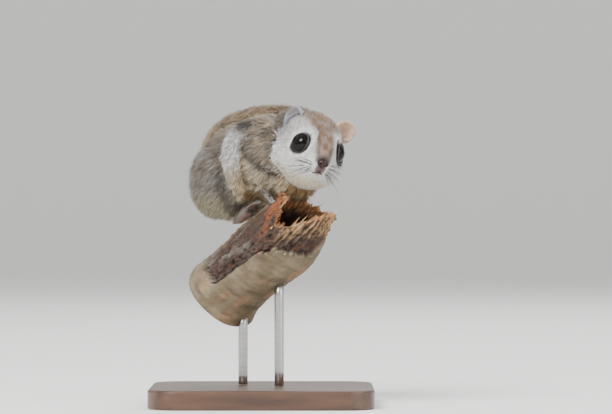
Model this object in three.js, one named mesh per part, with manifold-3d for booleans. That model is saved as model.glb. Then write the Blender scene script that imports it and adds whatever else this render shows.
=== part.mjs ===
// A flying squirrel crouched on a broken branch stub, on a plain display stand.
// Millimetres, +Z up. The origin is the middle of the stand's underside.
// The animal faces +X and turns towards -Y; each local frame has x forward, y to the animal's left, z up.

import * as THREE from "three";
import { mergeVertices } from "three/addons/utils/BufferGeometryUtils.js";
import Module from "manifold-3d";

const wasm = await Module();
wasm.setup();

// Driving sizes
const GAP = 0.3; // clearance between neighbouring pieces
const BODY_AT = [1, 8, 126]; // middle of the trunk of the body
const BODY_TURN = -42; // degrees, the body's heading from +X
const HEAD_AT = [26, -22, 133.6];
const HEAD_TURN = [-15, 15, -72]; // roll, pitch and heading, degrees
const EYE_RADIUS = 6;
const EYE_AT = [9.1, 8, 1.7]; // in the head's frame, left side
const EYE_OUT = [56, 8]; // the eye's axis: degrees out from straight ahead, degrees up
const EAR_LENGTH = 13.5;
const EAR_WIDTH = 12;
const TAIL_CORE_HALF_WIDTH = 6.5; // the tail under its long hair
const TAIL_CORE_THICKNESS = 6;
const TAIL_LOCKS = {
  step: 7.4, // from one pair of side locks to the next, along the tail
  length: 16.5, // of a side lock, longest half way up the tail
  halfWidth: 4,
  halfThickness: 0.6,
  splay: 0.78, // share of a side lock's way that points sideways
};
const STUB_AT = [-5, 5.2, 73.5]; // a point on the stub's axis
const STUB_TURN = [0, -36.9, -41.6];
const STUB_RADIUS = 18.5;
const STUB_BACK = 28; // the stub's cut end, back from that point
const BASE_SIZE = [116, 100, 10];
const BASE_CORNER = 16;
const ROD_RADIUS = 2.5;
const RODS_AT = [
  [-10, 10],
  [9, -6],
];

const rad = THREE.MathUtils.degToRad;
const vec = (x, y, z) => new THREE.Vector3(x, y, z);
const mirrored = ([x, y, z]) => [x, -y, z];

// Local frames

function frameAt(at, [roll, pitch, heading] = [0, 0, 0]) {
  const turn = new THREE.Euler(rad(roll), rad(pitch), rad(heading), "ZYX");
  return new THREE.Matrix4().makeRotationFromEuler(turn).setPosition(...at);
}

const bodyFrame = frameAt(BODY_AT, [0, 0, BODY_TURN]);
const headFrame = frameAt(HEAD_AT, HEAD_TURN);
const stubFrame = frameAt(STUB_AT, STUB_TURN);

// Solids from closed meshes, and back

function solidOf(geometry, frame) {
  const bare = geometry.clone();
  bare.deleteAttribute("normal");
  bare.deleteAttribute("uv");
  if (frame) bare.applyMatrix4(frame);
  const merged = mergeVertices(bare, 1e-4);
  return new wasm.Manifold(
    new wasm.Mesh({
      numProp: 3,
      vertProperties: new Float32Array(merged.attributes.position.array),
      triVerts: new Uint32Array(merged.index.array),
    }),
  );
}

function geometryOf(solid) {
  const mesh = solid.getMesh();
  const places = new Float32Array(mesh.numVert * 3);
  for (let i = 0; i < mesh.numVert; i++) {
    const from = i * mesh.numProp;
    places.set(mesh.vertProperties.subarray(from, from + 3), i * 3);
  }
  const geometry = new THREE.BufferGeometry();
  geometry.setAttribute("position", new THREE.BufferAttribute(places, 3));
  geometry.setIndex(new THREE.BufferAttribute(new Uint32Array(mesh.triVerts), 1));
  geometry.computeVertexNormals();
  return geometry;
}

// The largest closed surface of a solid, without loose scraps or sealed hollows.
function largest(solid) {
  return solid.decompose().reduce((a, b) => (a.volume() > b.volume() ? a : b));
}

const joined = (...solids) => solids.reduce((a, b) => a.add(b));
const cutBy = (solid, ...cutters) => largest(cutters.reduce((a, b) => a.subtract(b), solid));

// Distance fields, in millimetres, negative inside

function egg(at, radii) {
  const centre = vec(...at);
  const size = vec(...radii);
  return (p) => {
    const q = p.clone().sub(centre).divide(size);
    const slope = q.clone().divide(size).length();
    const reach = q.length();
    return slope < 1e-9 ? -Math.min(...radii) : (reach * (reach - 1)) / slope;
  };
}

// A bone with round ends, thicker at one end than at the other.
function bone(from, fromRadius, to, toRadius) {
  const a = vec(...from);
  const along = vec(...to).sub(a);
  return (p) => {
    const offset = p.clone().sub(a);
    const t = THREE.MathUtils.clamp(offset.dot(along) / along.lengthSq(), 0, 1);
    return offset.addScaledVector(along, -t).length() - THREE.MathUtils.lerp(fromRadius, toRadius, t);
  };
}

// Fields run together with a fillet of about the given width.
function melted(width, ...fields) {
  return (p) =>
    fields
      .map((field) => field(p))
      .reduce((a, b) => {
        const h = Math.max(width - Math.abs(a - b), 0) / width;
        return Math.min(a, b) - (h * h * width) / 4;
      });
}

// A form seen from its centre: a ball whose points are moved in or out to the field's surface.
const REACH = 75;

function form({ frame, centre, field, detail, stretch = [1, 1, 1] }, grow = 0) {
  const ball = mergeVertices(bareBall(detail), 1e-6);
  const places = ball.attributes.position;
  const start = vec(...centre);
  for (let i = 0; i < places.count; i++) {
    const way = new THREE.Vector3().fromBufferAttribute(places, i).multiply(vec(...stretch)).normalize();
    let t = REACH;
    for (let step = 0; step < 160; step++) {
      const clear = field(start.clone().addScaledVector(way, t)) - grow;
      if (clear < 1e-3) break;
      t -= Math.max(clear * 0.55, 1e-3);
    }
    const place = start.clone().addScaledVector(way, t);
    places.setXYZ(i, place.x, place.y, place.z);
  }
  return solidOf(ball, frame);
}

function bareBall(detail) {
  const ball = new THREE.IcosahedronGeometry(1, detail);
  ball.deleteAttribute("normal");
  ball.deleteAttribute("uv");
  return ball;
}

// Lofts: rings of equal count joined in order, each end closed to its middle

function loft(rings, frame) {
  const count = rings[0].length;
  const places = [];
  const faces = [];
  const put = (p) => places.push(p.x, p.y, p.z) / 3 - 1;
  const index = rings.map((ring) => ring.map(put));
  for (let i = 0; i + 1 < rings.length; i++)
    for (let j = 0; j < count; j++) {
      const k = (j + 1) % count;
      faces.push(index[i][j], index[i][k], index[i + 1][k]);
      faces.push(index[i][j], index[i + 1][k], index[i + 1][j]);
    }
  const middle = (ring) => ring.reduce((a, b) => a.clone().add(b), vec(0, 0, 0)).divideScalar(count);
  const first = put(middle(rings[0]));
  const last = put(middle(rings[rings.length - 1]));
  for (let j = 0; j < count; j++) {
    const k = (j + 1) % count;
    faces.push(first, index[0][k], index[0][j]);
    faces.push(last, index[rings.length - 1][j], index[rings.length - 1][k]);
  }
  const geometry = new THREE.BufferGeometry();
  geometry.setAttribute("position", new THREE.Float32BufferAttribute(places, 3));
  geometry.setIndex(faces);
  const solid = solidOf(geometry, frame);
  if (solid.volume() > 0) return solid;
  geometry.setIndex(faces.map((_, i) => faces[i - (i % 3) + (2 - (i % 3))]));
  return solidOf(geometry, frame);
}

// A flat band along a curve: its width lies along "side", its thickness along the third way.
// With a sag its two edges hang down, so that it drapes over what it lies on.
function band({ frame, points, side, halfWidth, halfThickness, steps, sides, sag = 0 }, grow = 0) {
  const curve = new THREE.CatmullRomCurve3(points.map((p) => vec(...p)));
  const rings = [];
  for (let i = 0; i <= steps; i++) {
    const t = i / steps;
    const at = curve.getPointAt(t);
    const along = curve.getTangentAt(t);
    const across = side(t).addScaledVector(along, -side(t).dot(along)).normalize();
    const up = new THREE.Vector3().crossVectors(along, across);
    if (i === 0) at.addScaledVector(along, -grow);
    if (i === steps) at.addScaledVector(along, grow);
    const ring = [];
    for (let j = 0; j < sides; j++) {
      const angle = (j / sides) * 2 * Math.PI;
      ring.push(
        at
          .clone()
          .addScaledVector(across, Math.cos(angle) * (halfWidth(t) + grow))
          .addScaledVector(up, Math.sin(angle) * (halfThickness(t) + grow) - sag * Math.cos(angle) ** 2),
      );
    }
    rings.push(ring);
  }
  return loft(rings, frame);
}

// The branch stub: a round stem, broken off aslant, with a rotten hollow in its end.
// Angles go round its axis from the top, towards -Y.

const BREAK = [
  // angle in degrees, how far the wood reaches along the axis
  [0, 38],
  [22, 42],
  [38, 47],
  [54, 46],
  [66, 44],
  [78, 41],
  [92, 35],
  [104, 36],
  [118, 42],
  [140, 51],
  [180, 59],
  [214, 54],
  [262, 46],
  [300, 42],
  [335, 38],
  [360, 38],
];
const BARK_END = [
  // angle in degrees, how far the bark reaches; past it the wood is bare
  [0, 32],
  [22, 30],
  [30, -19],
  [98, -15],
  [112, 19],
  [150, 31],
  [208, 39],
  [300, 36],
  [360, 32],
];
const BARK = 1.9; // thickness of the lost bark
const STUB_SIDES = 36;
const STUB_STEPS = 12;
const JAG = 2.2; // the teeth of the break

function reachAt(table, degrees) {
  const next = table.findIndex(([angle]) => angle >= degrees);
  if (next <= 0) return table[0][1];
  const [a, reachA] = table[next - 1];
  const [b, reachB] = table[next];
  return THREE.MathUtils.mapLinear(degrees, a, b, reachA, reachB);
}

function stubPoint(angle, t, radius) {
  return vec(t, -Math.sin(angle) * radius, Math.cos(angle) * radius);
}

function stubRadius(angle, t) {
  const along = (t + STUB_BACK) / (STUB_BACK + 59);
  const flare = 2.2 * Math.exp(-along * 9);
  const taper = -2.6 * along;
  const lumps = 0.5 * Math.sin(3 * angle + 0.11 * t) + 0.35 * Math.sin(5 * angle - 0.19 * t + 2);
  const belly = 5 * Math.exp(-(((t - 20) / 20) ** 2)) * Math.max(0, Math.cos(angle - rad(208))) ** 1.5;
  const bare = THREE.MathUtils.smoothstep(t - reachAt(BARK_END, THREE.MathUtils.radToDeg(angle)), -1, 2);
  return STUB_RADIUS + flare + taper + lumps + belly - BARK * bare;
}

function stubForm(grow = 0) {
  const rings = [];
  for (let i = 0; i <= STUB_STEPS; i++) {
    const ring = [];
    for (let j = 0; j < STUB_SIDES; j++) {
      const angle = (j / STUB_SIDES) * 2 * Math.PI;
      const tooth = JAG * Math.sin(j * 2.4) + 0.5 * JAG * Math.sin(j * 5.3 + 1);
      const end = reachAt(BREAK, (j / STUB_SIDES) * 360) + tooth + grow;
      const t = THREE.MathUtils.lerp(-STUB_BACK - grow, end, i / STUB_STEPS);
      ring.push(stubPoint(angle, t, stubRadius(angle, t) + grow));
    }
    rings.push(ring);
  }
  return loft(rings, stubFrame);
}

// The hollow widens outwards and leans towards the open side, so that the rim is broken there.
function stubHollow() {
  const steps = [
    [8, 3],
    [15, 7.5],
    [26, 10.8],
    [42, 12.6],
    [68, 14],
  ];
  const lean = rad(20);
  const rings = steps.map(([t, radius], i) => {
    const ring = [];
    const middle = stubPoint(lean, t, 0.5 + i * 0.4);
    for (let j = 0; j < 14; j++) {
      const angle = (j / 14) * 2 * Math.PI;
      const rough = radius * (1 + 0.1 * Math.sin(j * 2.9 + i) + 0.06 * Math.sin(j * 5.1 + 2 * i));
      ring.push(middle.clone().add(stubPoint(angle, 0, rough)));
    }
    return ring;
  });
  return loft(rings, stubFrame);
}

const stubGrown = stubForm(GAP);
const stub = largest(stubForm().subtract(stubHollow()));

// The animal's forms

const trunk = {
  frame: bodyFrame,
  centre: [-4, 0, -1],
  detail: 5,
  stretch: [1.2, 1, 1],
  field: melted(
    9,
    egg([-9, 0, -2.5], [28.5, 22.5, 25.5]),
    egg([10, 0, 1], [21, 19.5, 24.5]),
    egg([-19, 0, -10], [20, 22, 21]),
    egg([20, 0, -4], [13, 14, 17]),
  ),
};

const neck = {
  frame: bodyFrame,
  centre: [23, 1, 11],
  detail: 3,
  field: egg([23, 1, 11], [15, 16, 17.5]),
};

const head = {
  frame: headFrame,
  centre: [1, 0, -1],
  detail: 8,
  field: melted(
    6,
    egg([-4, 0, 1.5], [17, 15.8, 16]),
    egg([7, 0, 0], [13, 10.4, 11.8]),
    egg([13.4, 0, -4.8], [8.4, 6.8, 6.4]),
    egg([1, 9.6, -6.5], [12, 9, 9.5]),
    egg([1, -9.6, -6.5], [12, 9, 9.5]),
    egg([3, 0, -12], [13, 12, 9.5]),
  ),
};

const shoulder = (side) => ({
  frame: bodyFrame,
  centre: [13, 15 * side, 5],
  detail: 4,
  field: melted(
    5,
    egg([13, 15 * side, 7], [14.5, 9.5, 16.5]),
    bone([13, 17 * side, -3], 7.5, [side < 0 ? 11 : 13, (side < 0 ? 15 : 9) * side, -13], 4),
  ),
});

const haunch = (side) => ({
  frame: bodyFrame,
  centre: [-17, 16 * side, -9],
  detail: 4,
  field: melted(
    6,
    egg([-18.5, 15.5 * side, -9.5], [17, 10.5, 20]),
    egg([-9, 17 * side, -18], [11, 8, 10]),
  ),
});

// The gliding membrane hangs between elbow and knee as a loose fold.
const membrane = (side) => ({
  frame: bodyFrame,
  points: [
    [15, 17, 22],
    [8, 20.5, 19.5],
    [2.5, 23.5, 14],
    [0, 25, 5],
    [1, 24.2, -5],
    [3.5, 21, -14],
    [6, 17.5, -20],
  ].map(([x, y, z]) => [x, y * side, z]),
  side: () => vec(1, 0.15 * side, 0.2),
  halfWidth: (t) => 2.2 + 4.4 * Math.sin(Math.PI * Math.pow(t, 0.75)) ** 0.8 + 0.6 * t,
  halfThickness: (t) => 1.8 + 3.6 * Math.sin(Math.PI * t),
  steps: 10,
  sides: 8,
});

// Tail, laid forwards over the back

const TAIL_LINE = [
  [-27, 1, -24],
  [-36, 0, -14],
  [-38, -1, 0],
  [-34.5, 0, 12],
  [-26, 2, 20.5],
  [-13, 4, 25.5],
  [2, 5.5, 27],
  [15, 6, 26.5],
];

// The rump, back and neck that the tail lies on.
const BACK_OF = [trunk, neck, haunch(-1), haunch(1), shoulder(-1), shoulder(1)].map((part) => part.field);
const backField = (p) => Math.min(...BACK_OF.map((field) => field(p)));

// The way out of the back at a point.
function awayFromBack(p) {
  const reach = 0.5;
  const slope = ["x", "y", "z"].map((axis) => {
    const ahead = p.clone();
    const behind = p.clone();
    ahead[axis] += reach;
    behind[axis] -= reach;
    return backField(ahead) - backField(behind);
  });
  return vec(...slope).normalize();
}

// Moves a point straight in or out until it lies a set height over the back.
function laidOver(p, height) {
  const place = p.clone();
  for (let i = 0; i < 3; i++) place.addScaledVector(awayFromBack(place), height - backField(place));
  return place;
}

const tailCore = {
  frame: bodyFrame,
  points: TAIL_LINE,
  side: () => vec(0, 1, 0),
  halfWidth: (t) => TAIL_CORE_HALF_WIDTH * Math.sin(Math.PI * Math.min(1, 0.16 + 0.8 * t)) ** 0.6,
  halfThickness: (t) => (TAIL_CORE_THICKNESS / 2) * (1 - 0.55 * t ** 3),
  steps: 14,
  sides: 8,
  sag: 1,
};

// Repeatable draws from 0 to 1.
function draws(seed) {
  let state = seed;
  return () => {
    state = (state * 16807) % 2147483647;
    return state / 2147483647;
  };
}

// One lock of hair: flat and tapered, bent over the back, its root sunk in the tail's core.
function lock(root, way, length, { lift, halfWidth, halfThickness }) {
  const points = [-0.25, 0.2, 0.62, 1].map((share) => {
    const place = root.clone().addScaledVector(way, length * share);
    return share < 0 ? place : laidOver(place, halfThickness + GAP + lift * (1 - 0.45 * share));
  });
  const out = awayFromBack(points[1]);
  return band({
    frame: bodyFrame,
    points: points.map((p) => p.toArray()),
    side: () => new THREE.Vector3().crossVectors(way, out),
    halfWidth: (t) => halfWidth * (0.75 + 0.6 * t) * Math.max(0.1, 1 - t ** 2.2),
    halfThickness: (t) => halfThickness * Math.max(0.3, 1 - 0.6 * t ** 2),
    steps: 4,
    sides: 4,
  });
}

// Locks down both sides of the tail, over its middle and in a fan at its tip.
function tailLocks() {
  const draw = draws(11);
  const line = new THREE.CatmullRomCurve3(TAIL_LINE.map((p) => vec(...p)));
  const { step, length, halfWidth, halfThickness, splay } = TAIL_LOCKS;
  const pairs = Math.floor(line.getLength() / step);
  const made = [];
  for (let i = 1; i < pairs; i++) {
    const t = i / pairs;
    const along = line.getTangentAt(t);
    const middle = line.getPointAt(t);
    const full = length * (0.62 + 0.38 * Math.sin(Math.PI * t));
    for (const side of [-1, 1]) {
      const vary = 0.88 + 0.24 * draw();
      const across = vec(0, side, 0);
      const root = middle.clone().addScaledVector(across, 0.72 * tailCore.halfWidth(t));
      const way = along.clone().multiplyScalar(1 - 0.5 * splay).addScaledVector(across, splay * vary).normalize();
      made.push(lock(root, way, full * vary, { lift: 1.1, halfWidth, halfThickness }));
      if (i % 2) continue;
      const inner = middle.clone().addScaledVector(across, 0.25 * tailCore.halfWidth(t));
      const slant = along.clone().addScaledVector(across, 0.32 * vary).normalize();
      made.push(lock(inner, slant, 0.8 * full * vary, { lift: 3.4, halfWidth, halfThickness }));
    }
  }
  const tip = line.getPointAt(0.97);
  for (const turn of [-0.5, 0, 0.5]) {
    const way = line.getTangentAt(1).addScaledVector(vec(0, 1, 0), turn).normalize();
    made.push(lock(tip, way, 0.6 * length, { lift: 1.4, halfWidth, halfThickness }));
  }
  return made;
}

// Feet: a sole and toes that curl over the stub, with a claw on each toe

function foot({ heel, ball, radius, toes, toeLength, spread, side }) {
  const heading = vec(...ball).sub(vec(...heel)).normalize();
  const pad = form({
    frame: bodyFrame,
    centre: vec(...heel).lerp(vec(...ball), 0.5).toArray(),
    detail: 1,
    field: bone(heel, radius * 0.8, ball, radius),
  });
  const digits = [];
  for (let i = 0; i < toes; i++) {
    const share = i / (toes - 1) - 0.5;
    const root = vec(...ball).add(vec(0, share * radius * 1.5, 0));
    const way = heading.clone().applyAxisAngle(vec(0, 0, 1), side * share * spread);
    const length = toeLength * (1 - 0.5 * share * share);
    const knuckle = root.clone().addScaledVector(way, length * 0.55).add(vec(0, 0, 0.5));
    const tip = root.clone().addScaledVector(way, length).add(vec(0, 0, -1.2));
    const claw = tip.clone().addScaledVector(way, 2).add(vec(0, 0, -1.6));
    digits.push(
      band({
        frame: bodyFrame,
        points: [root, knuckle, tip, claw].map((p) => p.toArray()),
        side: () => vec(-way.y, way.x, 0),
        halfWidth: (t) => (t < 0.78 ? 1.35 - 0.3 * t : 3.8 * (1.08 - t)),
        halfThickness: (t) => (t < 0.78 ? 1.25 - 0.3 * t : 3.4 * (1.1 - t)),
        steps: 3,
        sides: 5,
      }),
    );
  }
  return joined(pad, ...digits);
}

// The room that a foot takes out of the fur above it, wider over the spread toes.
function footRoom({ heel, ball, radius, toeLength }) {
  const toes = vec(...ball).sub(vec(...heel)).setLength(0.8 * toeLength).add(vec(...ball));
  return form({
    frame: bodyFrame,
    centre: vec(...heel).lerp(toes, 0.5).toArray(),
    detail: 2,
    field: bone(heel, radius + 1.2, toes.toArray(), radius + 4.4),
  });
}

const hindFoot = (side) => ({
  heel: [-8, side < 0 ? -13 : 3, side < 0 ? -31 : -33],
  ball: [3.5, side < 0 ? -14.5 : 4.5, side < 0 ? -23.5 : -25],
  radius: 3.1,
  toes: 5,
  toeLength: 8,
  spread: 0.7,
  side,
});

const forePaw = (side) => ({
  heel: [10.5, side < 0 ? -14.5 : 8, side < 0 ? -15 : -14.5],
  ball: [14, side < 0 ? -14 : 5, side < 0 ? -17 : -16],
  radius: 2.5,
  toes: 4,
  toeLength: 6,
  spread: 0.8,
  side,
});

// Head parts

function eyeAxis(side) {
  const [out, up] = EYE_OUT.map(rad);
  return vec(Math.cos(out) * Math.cos(up), side * Math.sin(out) * Math.cos(up), Math.sin(up));
}

const eyeCentre = (side) => (side > 0 ? EYE_AT : mirrored(EYE_AT));

function eye(side, grow = 0) {
  const ball = bareBall(3);
  ball.scale(EYE_RADIUS + grow, EYE_RADIUS + grow, EYE_RADIUS + grow);
  ball.translate(...eyeCentre(side));
  return solidOf(ball, headFrame);
}

// The lids are a low ring round the eye.
function lids(side) {
  const ring = new THREE.TorusGeometry(5.35, 0.95, 5, 18);
  const turn = new THREE.Quaternion().setFromUnitVectors(vec(0, 0, 1), eyeAxis(side));
  ring.applyQuaternion(turn);
  ring.translate(...vec(...eyeCentre(side)).addScaledVector(eyeAxis(side), 1.5).toArray());
  return solidOf(ring, headFrame);
}

function ball(frame, at, radii, detail) {
  const made = bareBall(detail);
  made.scale(...radii);
  made.translate(...at);
  return solidOf(made, frame);
}

const NOSE_AT = [22.2, 0, -3.2];

function nose(grow = 0) {
  const radii = [1.9 + grow, 2.8 + grow, 2.1 + grow];
  return ball(headFrame, NOSE_AT, radii, 2);
}

function nostrils() {
  return [1, -1].map((side) => ball(headFrame, [23.9, 1.3 * side, -3.5], [1, 0.5, 0.5], 1));
}

// The mouth line: a groove down from the nose, and one back along each lip.
function mouthLine() {
  const groove = (points) =>
    band({
      frame: headFrame,
      points,
      side: () => vec(0.3, 1, 0.2),
      halfWidth: () => 0.42,
      halfThickness: () => 0.42,
      steps: 5,
      sides: 4,
    });
  const cleft = groove([
    [22.8, 0, -4.4],
    [22.3, 0, -6.4],
    [20.8, 0, -8],
  ]);
  const lips = [1, -1].map((side) =>
    groove([
      [21, 0.1 * side, -7.9],
      [19, 2.6 * side, -8.9],
      [15.6, 4.7 * side, -8.9],
      [12, 6.2 * side, -8.6],
    ]),
  );
  return [cleft, ...lips];
}

// An ear is a thin cup that opens forwards and outwards.
const EARS = {
  right: { at: [-5, -11.7, 6.4], up: [-0.25, 0.05, 0.95], open: [0.5, -0.85, 0.2] },
  left: { at: [-5.5, 12.6, 8.6], up: [-0.18, 0.8, 0.58], open: [0.9, 0.1, 0.42] },
};

function ear({ at, up, open }, grow = 0) {
  const rise = vec(...up).normalize();
  const across = new THREE.Vector3().crossVectors(rise, vec(...open)).normalize();
  const out = new THREE.Vector3().crossVectors(across, rise);
  const middle = vec(...at).addScaledVector(rise, EAR_LENGTH * 0.34);
  const turn = new THREE.Matrix4().makeBasis(out, across, rise).setPosition(middle);
  const place = new THREE.Matrix4().multiplyMatrices(headFrame, turn);
  const half = [3, EAR_WIDTH / 2, EAR_LENGTH / 2].map((size) => size + grow);
  const shell = ball(place, [0, 0, 0], half, 3);
  if (grow > 0) return shell;
  const cup = ball(place, [2.3, 0, 0.4], [3.6, half[1] - 1, half[2] - 1.1], 2);
  return shell.subtract(cup);
}

// Every form in full, and grown by the gap to cut its neighbours

// A grown form is coarser, so it is grown by a little more, to stay clear of the finer one.
const grown = (part, detail, slack) => form({ ...part, detail }, GAP + slack);

const headGrown = grown(head, 4, 0.2);
const neckGrown = grown(neck, 3, 0.15);
const trunkGrown = grown(trunk, 4, 0.15);
const animal = {};
const SIDES = { right: -1, left: 1 };

for (const [name, side] of Object.entries(SIDES)) {
  const forms = {
    shoulder: shoulder(side),
    haunch: haunch(side),
    membrane: membrane(side),
  };
  animal[name] = {
    eye: eye(side),
    eyeGrown: eye(side, GAP),
    ear: cutBy(ear(EARS[name]), headGrown),
    earGrown: ear(EARS[name], GAP),
    shoulder: form(forms.shoulder),
    shoulderGrown: grown(forms.shoulder, 4, 0.06),
    haunch: form(forms.haunch),
    haunchGrown: grown(forms.haunch, 4, 0.05),
    membrane: band(forms.membrane),
    membraneGrown: band(forms.membrane, GAP),
    foot: foot(hindFoot(side)),
    footRoom: footRoom(hindFoot(side)),
    paw: foot(forePaw(side)),
    pawRoom: footRoom(forePaw(side)),
  };
}

const both = (key) => [animal.right[key], animal.left[key]];

const headSolid = cutBy(
  joined(form(head), lids(-1), lids(1)),
  ...both("eyeGrown"),
  nose(GAP),
  ...mouthLine(),
);
const neckSolid = cutBy(form(neck), headGrown, ...both("earGrown"), ...both("shoulderGrown"), stubGrown);
const trunkSolid = cutBy(
  form(trunk),
  headGrown,
  ...both("earGrown"),
  neckGrown,
  stubGrown,
  ...both("shoulderGrown"),
  ...both("haunchGrown"),
  ...both("membraneGrown"),
  ...both("footRoom"),
  ...both("pawRoom"),
);
const tailSolid = cutBy(
  joined(band(tailCore), ...tailLocks()),
  trunkGrown,
  neckGrown,
  headGrown,
  ...both("haunchGrown"),
  ...both("shoulderGrown"),
  ...both("membraneGrown"),
);

// Stand

function basePlate() {
  const [length, width, height] = BASE_SIZE;
  const x = length / 2;
  const y = width / 2;
  const outline = new THREE.Shape();
  outline.moveTo(x - BASE_CORNER, -y);
  outline.absarc(x - BASE_CORNER, -y + BASE_CORNER, BASE_CORNER, -Math.PI / 2, 0);
  outline.absarc(x - BASE_CORNER, y - BASE_CORNER, BASE_CORNER, 0, Math.PI / 2);
  outline.absarc(-x + BASE_CORNER, y - BASE_CORNER, BASE_CORNER, Math.PI / 2, Math.PI);
  outline.absarc(-x + BASE_CORNER, -y + BASE_CORNER, BASE_CORNER, Math.PI, 1.5 * Math.PI);
  return new THREE.ExtrudeGeometry(outline, { depth: height, bevelEnabled: false, curveSegments: 5 });
}

function rod([x, y]) {
  const foot = BASE_SIZE[2] + GAP;
  const height = STUB_AT[2] - foot;
  const round = new THREE.CylinderGeometry(ROD_RADIUS, ROD_RADIUS, height, 14);
  round.rotateX(Math.PI / 2);
  round.translate(x, y, foot + height / 2);
  return cutBy(solidOf(round), stubForm(GAP));
}

// The finished object

const FINISH = {
  coat: { color: 0x9c8f80, roughness: 0.95, metalness: 0 },
  face: { color: 0xc9c2b8, roughness: 0.95, metalness: 0 },
  pale: { color: 0xd9d2c2, roughness: 0.95, metalness: 0 },
  ear: { color: 0xcaa488, roughness: 0.9, metalness: 0 },
  skin: { color: 0x5a3a33, roughness: 0.6, metalness: 0 },
  eye: { color: 0x0a0806, roughness: 0.08, metalness: 0 },
  wood: { color: 0x8a7866, roughness: 0.9, metalness: 0 },
  base: { color: 0x3b2a20, roughness: 0.5, metalness: 0 },
  rod: { color: 0x8c8a86, roughness: 0.35, metalness: 0.9 },
};

const squirrel = new THREE.Group();

function add(name, geometry, finish) {
  const mesh = new THREE.Mesh(geometry, new THREE.MeshStandardMaterial(FINISH[finish]));
  mesh.name = name;
  squirrel.add(mesh);
}

add("head", geometryOf(headSolid), "face");
add("neck", geometryOf(neckSolid), "coat");
add("torso", geometryOf(trunkSolid), "coat");
add("tail", geometryOf(tailSolid), "coat");
add("nose", geometryOf(cutBy(nose(), ...nostrils())), "skin");
for (const name of Object.keys(SIDES)) {
  const part = animal[name];
  const leg = cutBy(part.shoulder, stubGrown, headGrown, part.pawRoom);
  const thigh = cutBy(part.haunch, stubGrown, part.footRoom);
  const fold = cutBy(
    part.membrane,
    part.shoulderGrown,
    part.haunchGrown,
    stubGrown,
    part.footRoom,
    part.pawRoom,
  );
  add("eye_" + name, geometryOf(part.eye), "eye");
  add("ear_" + name, geometryOf(part.ear), "ear");
  add("foreleg_" + name, geometryOf(leg), "coat");
  add("forepaw_" + name, geometryOf(cutBy(part.paw, stubGrown, part.footRoom)), "pale");
  add("thigh_" + name, geometryOf(thigh), "coat");
  add("hind_foot_" + name, geometryOf(cutBy(part.foot, stubGrown)), "pale");
  add("membrane_" + name, geometryOf(fold), "pale");
}
add("perch", geometryOf(stub), "wood");
add("stand_base", basePlate(), "base");
RODS_AT.forEach((at, i) => add("stand_rod_" + (i + 1), geometryOf(rod(at)), "rod"));

export default squirrel;
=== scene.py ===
"""A flying squirrel crouched on a broken branch stub, on a display stand.

Lengths are in millimetres. In the settings, in the base plate and on the stage they are in metres.
"""

import math

import bmesh
import bpy
import numpy as np
from bpy.props import FloatProperty, FloatVectorProperty, IntProperty, PointerProperty
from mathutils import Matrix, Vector
from mathutils.bvhtree import BVHTree
from mathutils.kdtree import KDTree


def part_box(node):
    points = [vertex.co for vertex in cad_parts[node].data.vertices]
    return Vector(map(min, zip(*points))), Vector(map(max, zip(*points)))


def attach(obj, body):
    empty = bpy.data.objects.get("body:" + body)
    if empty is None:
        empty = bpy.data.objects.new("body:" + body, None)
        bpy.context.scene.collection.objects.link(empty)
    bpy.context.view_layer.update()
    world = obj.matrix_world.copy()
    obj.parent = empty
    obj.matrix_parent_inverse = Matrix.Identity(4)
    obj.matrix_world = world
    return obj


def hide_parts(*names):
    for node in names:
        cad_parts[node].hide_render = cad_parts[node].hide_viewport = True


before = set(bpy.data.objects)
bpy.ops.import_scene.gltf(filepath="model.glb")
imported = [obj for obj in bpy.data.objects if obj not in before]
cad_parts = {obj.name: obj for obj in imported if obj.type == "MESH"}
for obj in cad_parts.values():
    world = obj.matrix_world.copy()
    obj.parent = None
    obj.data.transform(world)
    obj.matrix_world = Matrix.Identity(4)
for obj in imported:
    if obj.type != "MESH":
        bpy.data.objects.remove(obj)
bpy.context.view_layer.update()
MM = 0.001
TURN = 2 * math.pi

bl_info = {
    "name": "Flying squirrel on a stub",
    "version": (1, 0, 0),
    "blender": (4, 5, 0),
    "location": "View3D > Sidebar > Squirrel",
    "description": "Builds the coat, face, stub and stand of a flying squirrel model",
    "category": "Object",
}

# Places and frames shared with the solids
SIDES = {"right": -1, "left": 1}
EYE_RADIUS = 6.0
EYE_AT = (9.1, 8.0, 1.7)
EYE_OUT = (56, 8)
LID_UP = (0.3, 0.0, 1.0)
EYE_OPEN = 5.35
EYE_NARROW = 0.82
NOSE_AT = (22.2, 0.0, -3.2)
EAR_WAYS = {
    "right": ((-0.25, 0.05, 0.95), (0.5, -0.85, 0.2)),
    "left": ((-0.18, 0.8, 0.58), (0.9, 0.1, 0.42)),
}
EAR_TAPER = {"right": 0.42, "left": 0.15}
STUB_BACK = 28
STUB_RADIUS = 18.5
BARK_THICK = 1.9
SPLINTERS = 90
BREAK = [
    (0, 38), (22, 42), (38, 47), (54, 46), (66, 44), (78, 41), (92, 35), (104, 36),
    (118, 42), (140, 51), (180, 59), (214, 54), (262, 46), (300, 42), (335, 38), (360, 38),
]
BARK_END = [(0, 32), (22, 30), (30, -19), (98, -15), (112, 19), (150, 31), (208, 39), (300, 36), (360, 32)]
HOLLOW = [(8, 3), (15, 7.5), (26, 10.8), (42, 12.6), (68, 14)]
TAIL_LINE = [
    (-27, 1, -24), (-36, 0, -14), (-38, -1, 0), (-34.5, 0, 12),
    (-26, 2, 20.5), (-13, 4, 25.5), (2, 5.5, 27), (15, 6, 26.5),
]
# Heel and ball of each hind foot and forepaw
HIND = {-1: ((-8, -13, -31), (3.5, -14.5, -23.5)), 1: ((-8, 3, -33), (3.5, 4.5, -25))}
FORE = {-1: ((10.5, -14.5, -15), (14, -14, -17)), 1: ((10.5, 8, -14.5), (14, 5, -16))}
HIND_TOES = 5
FORE_TOES = 4

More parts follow.
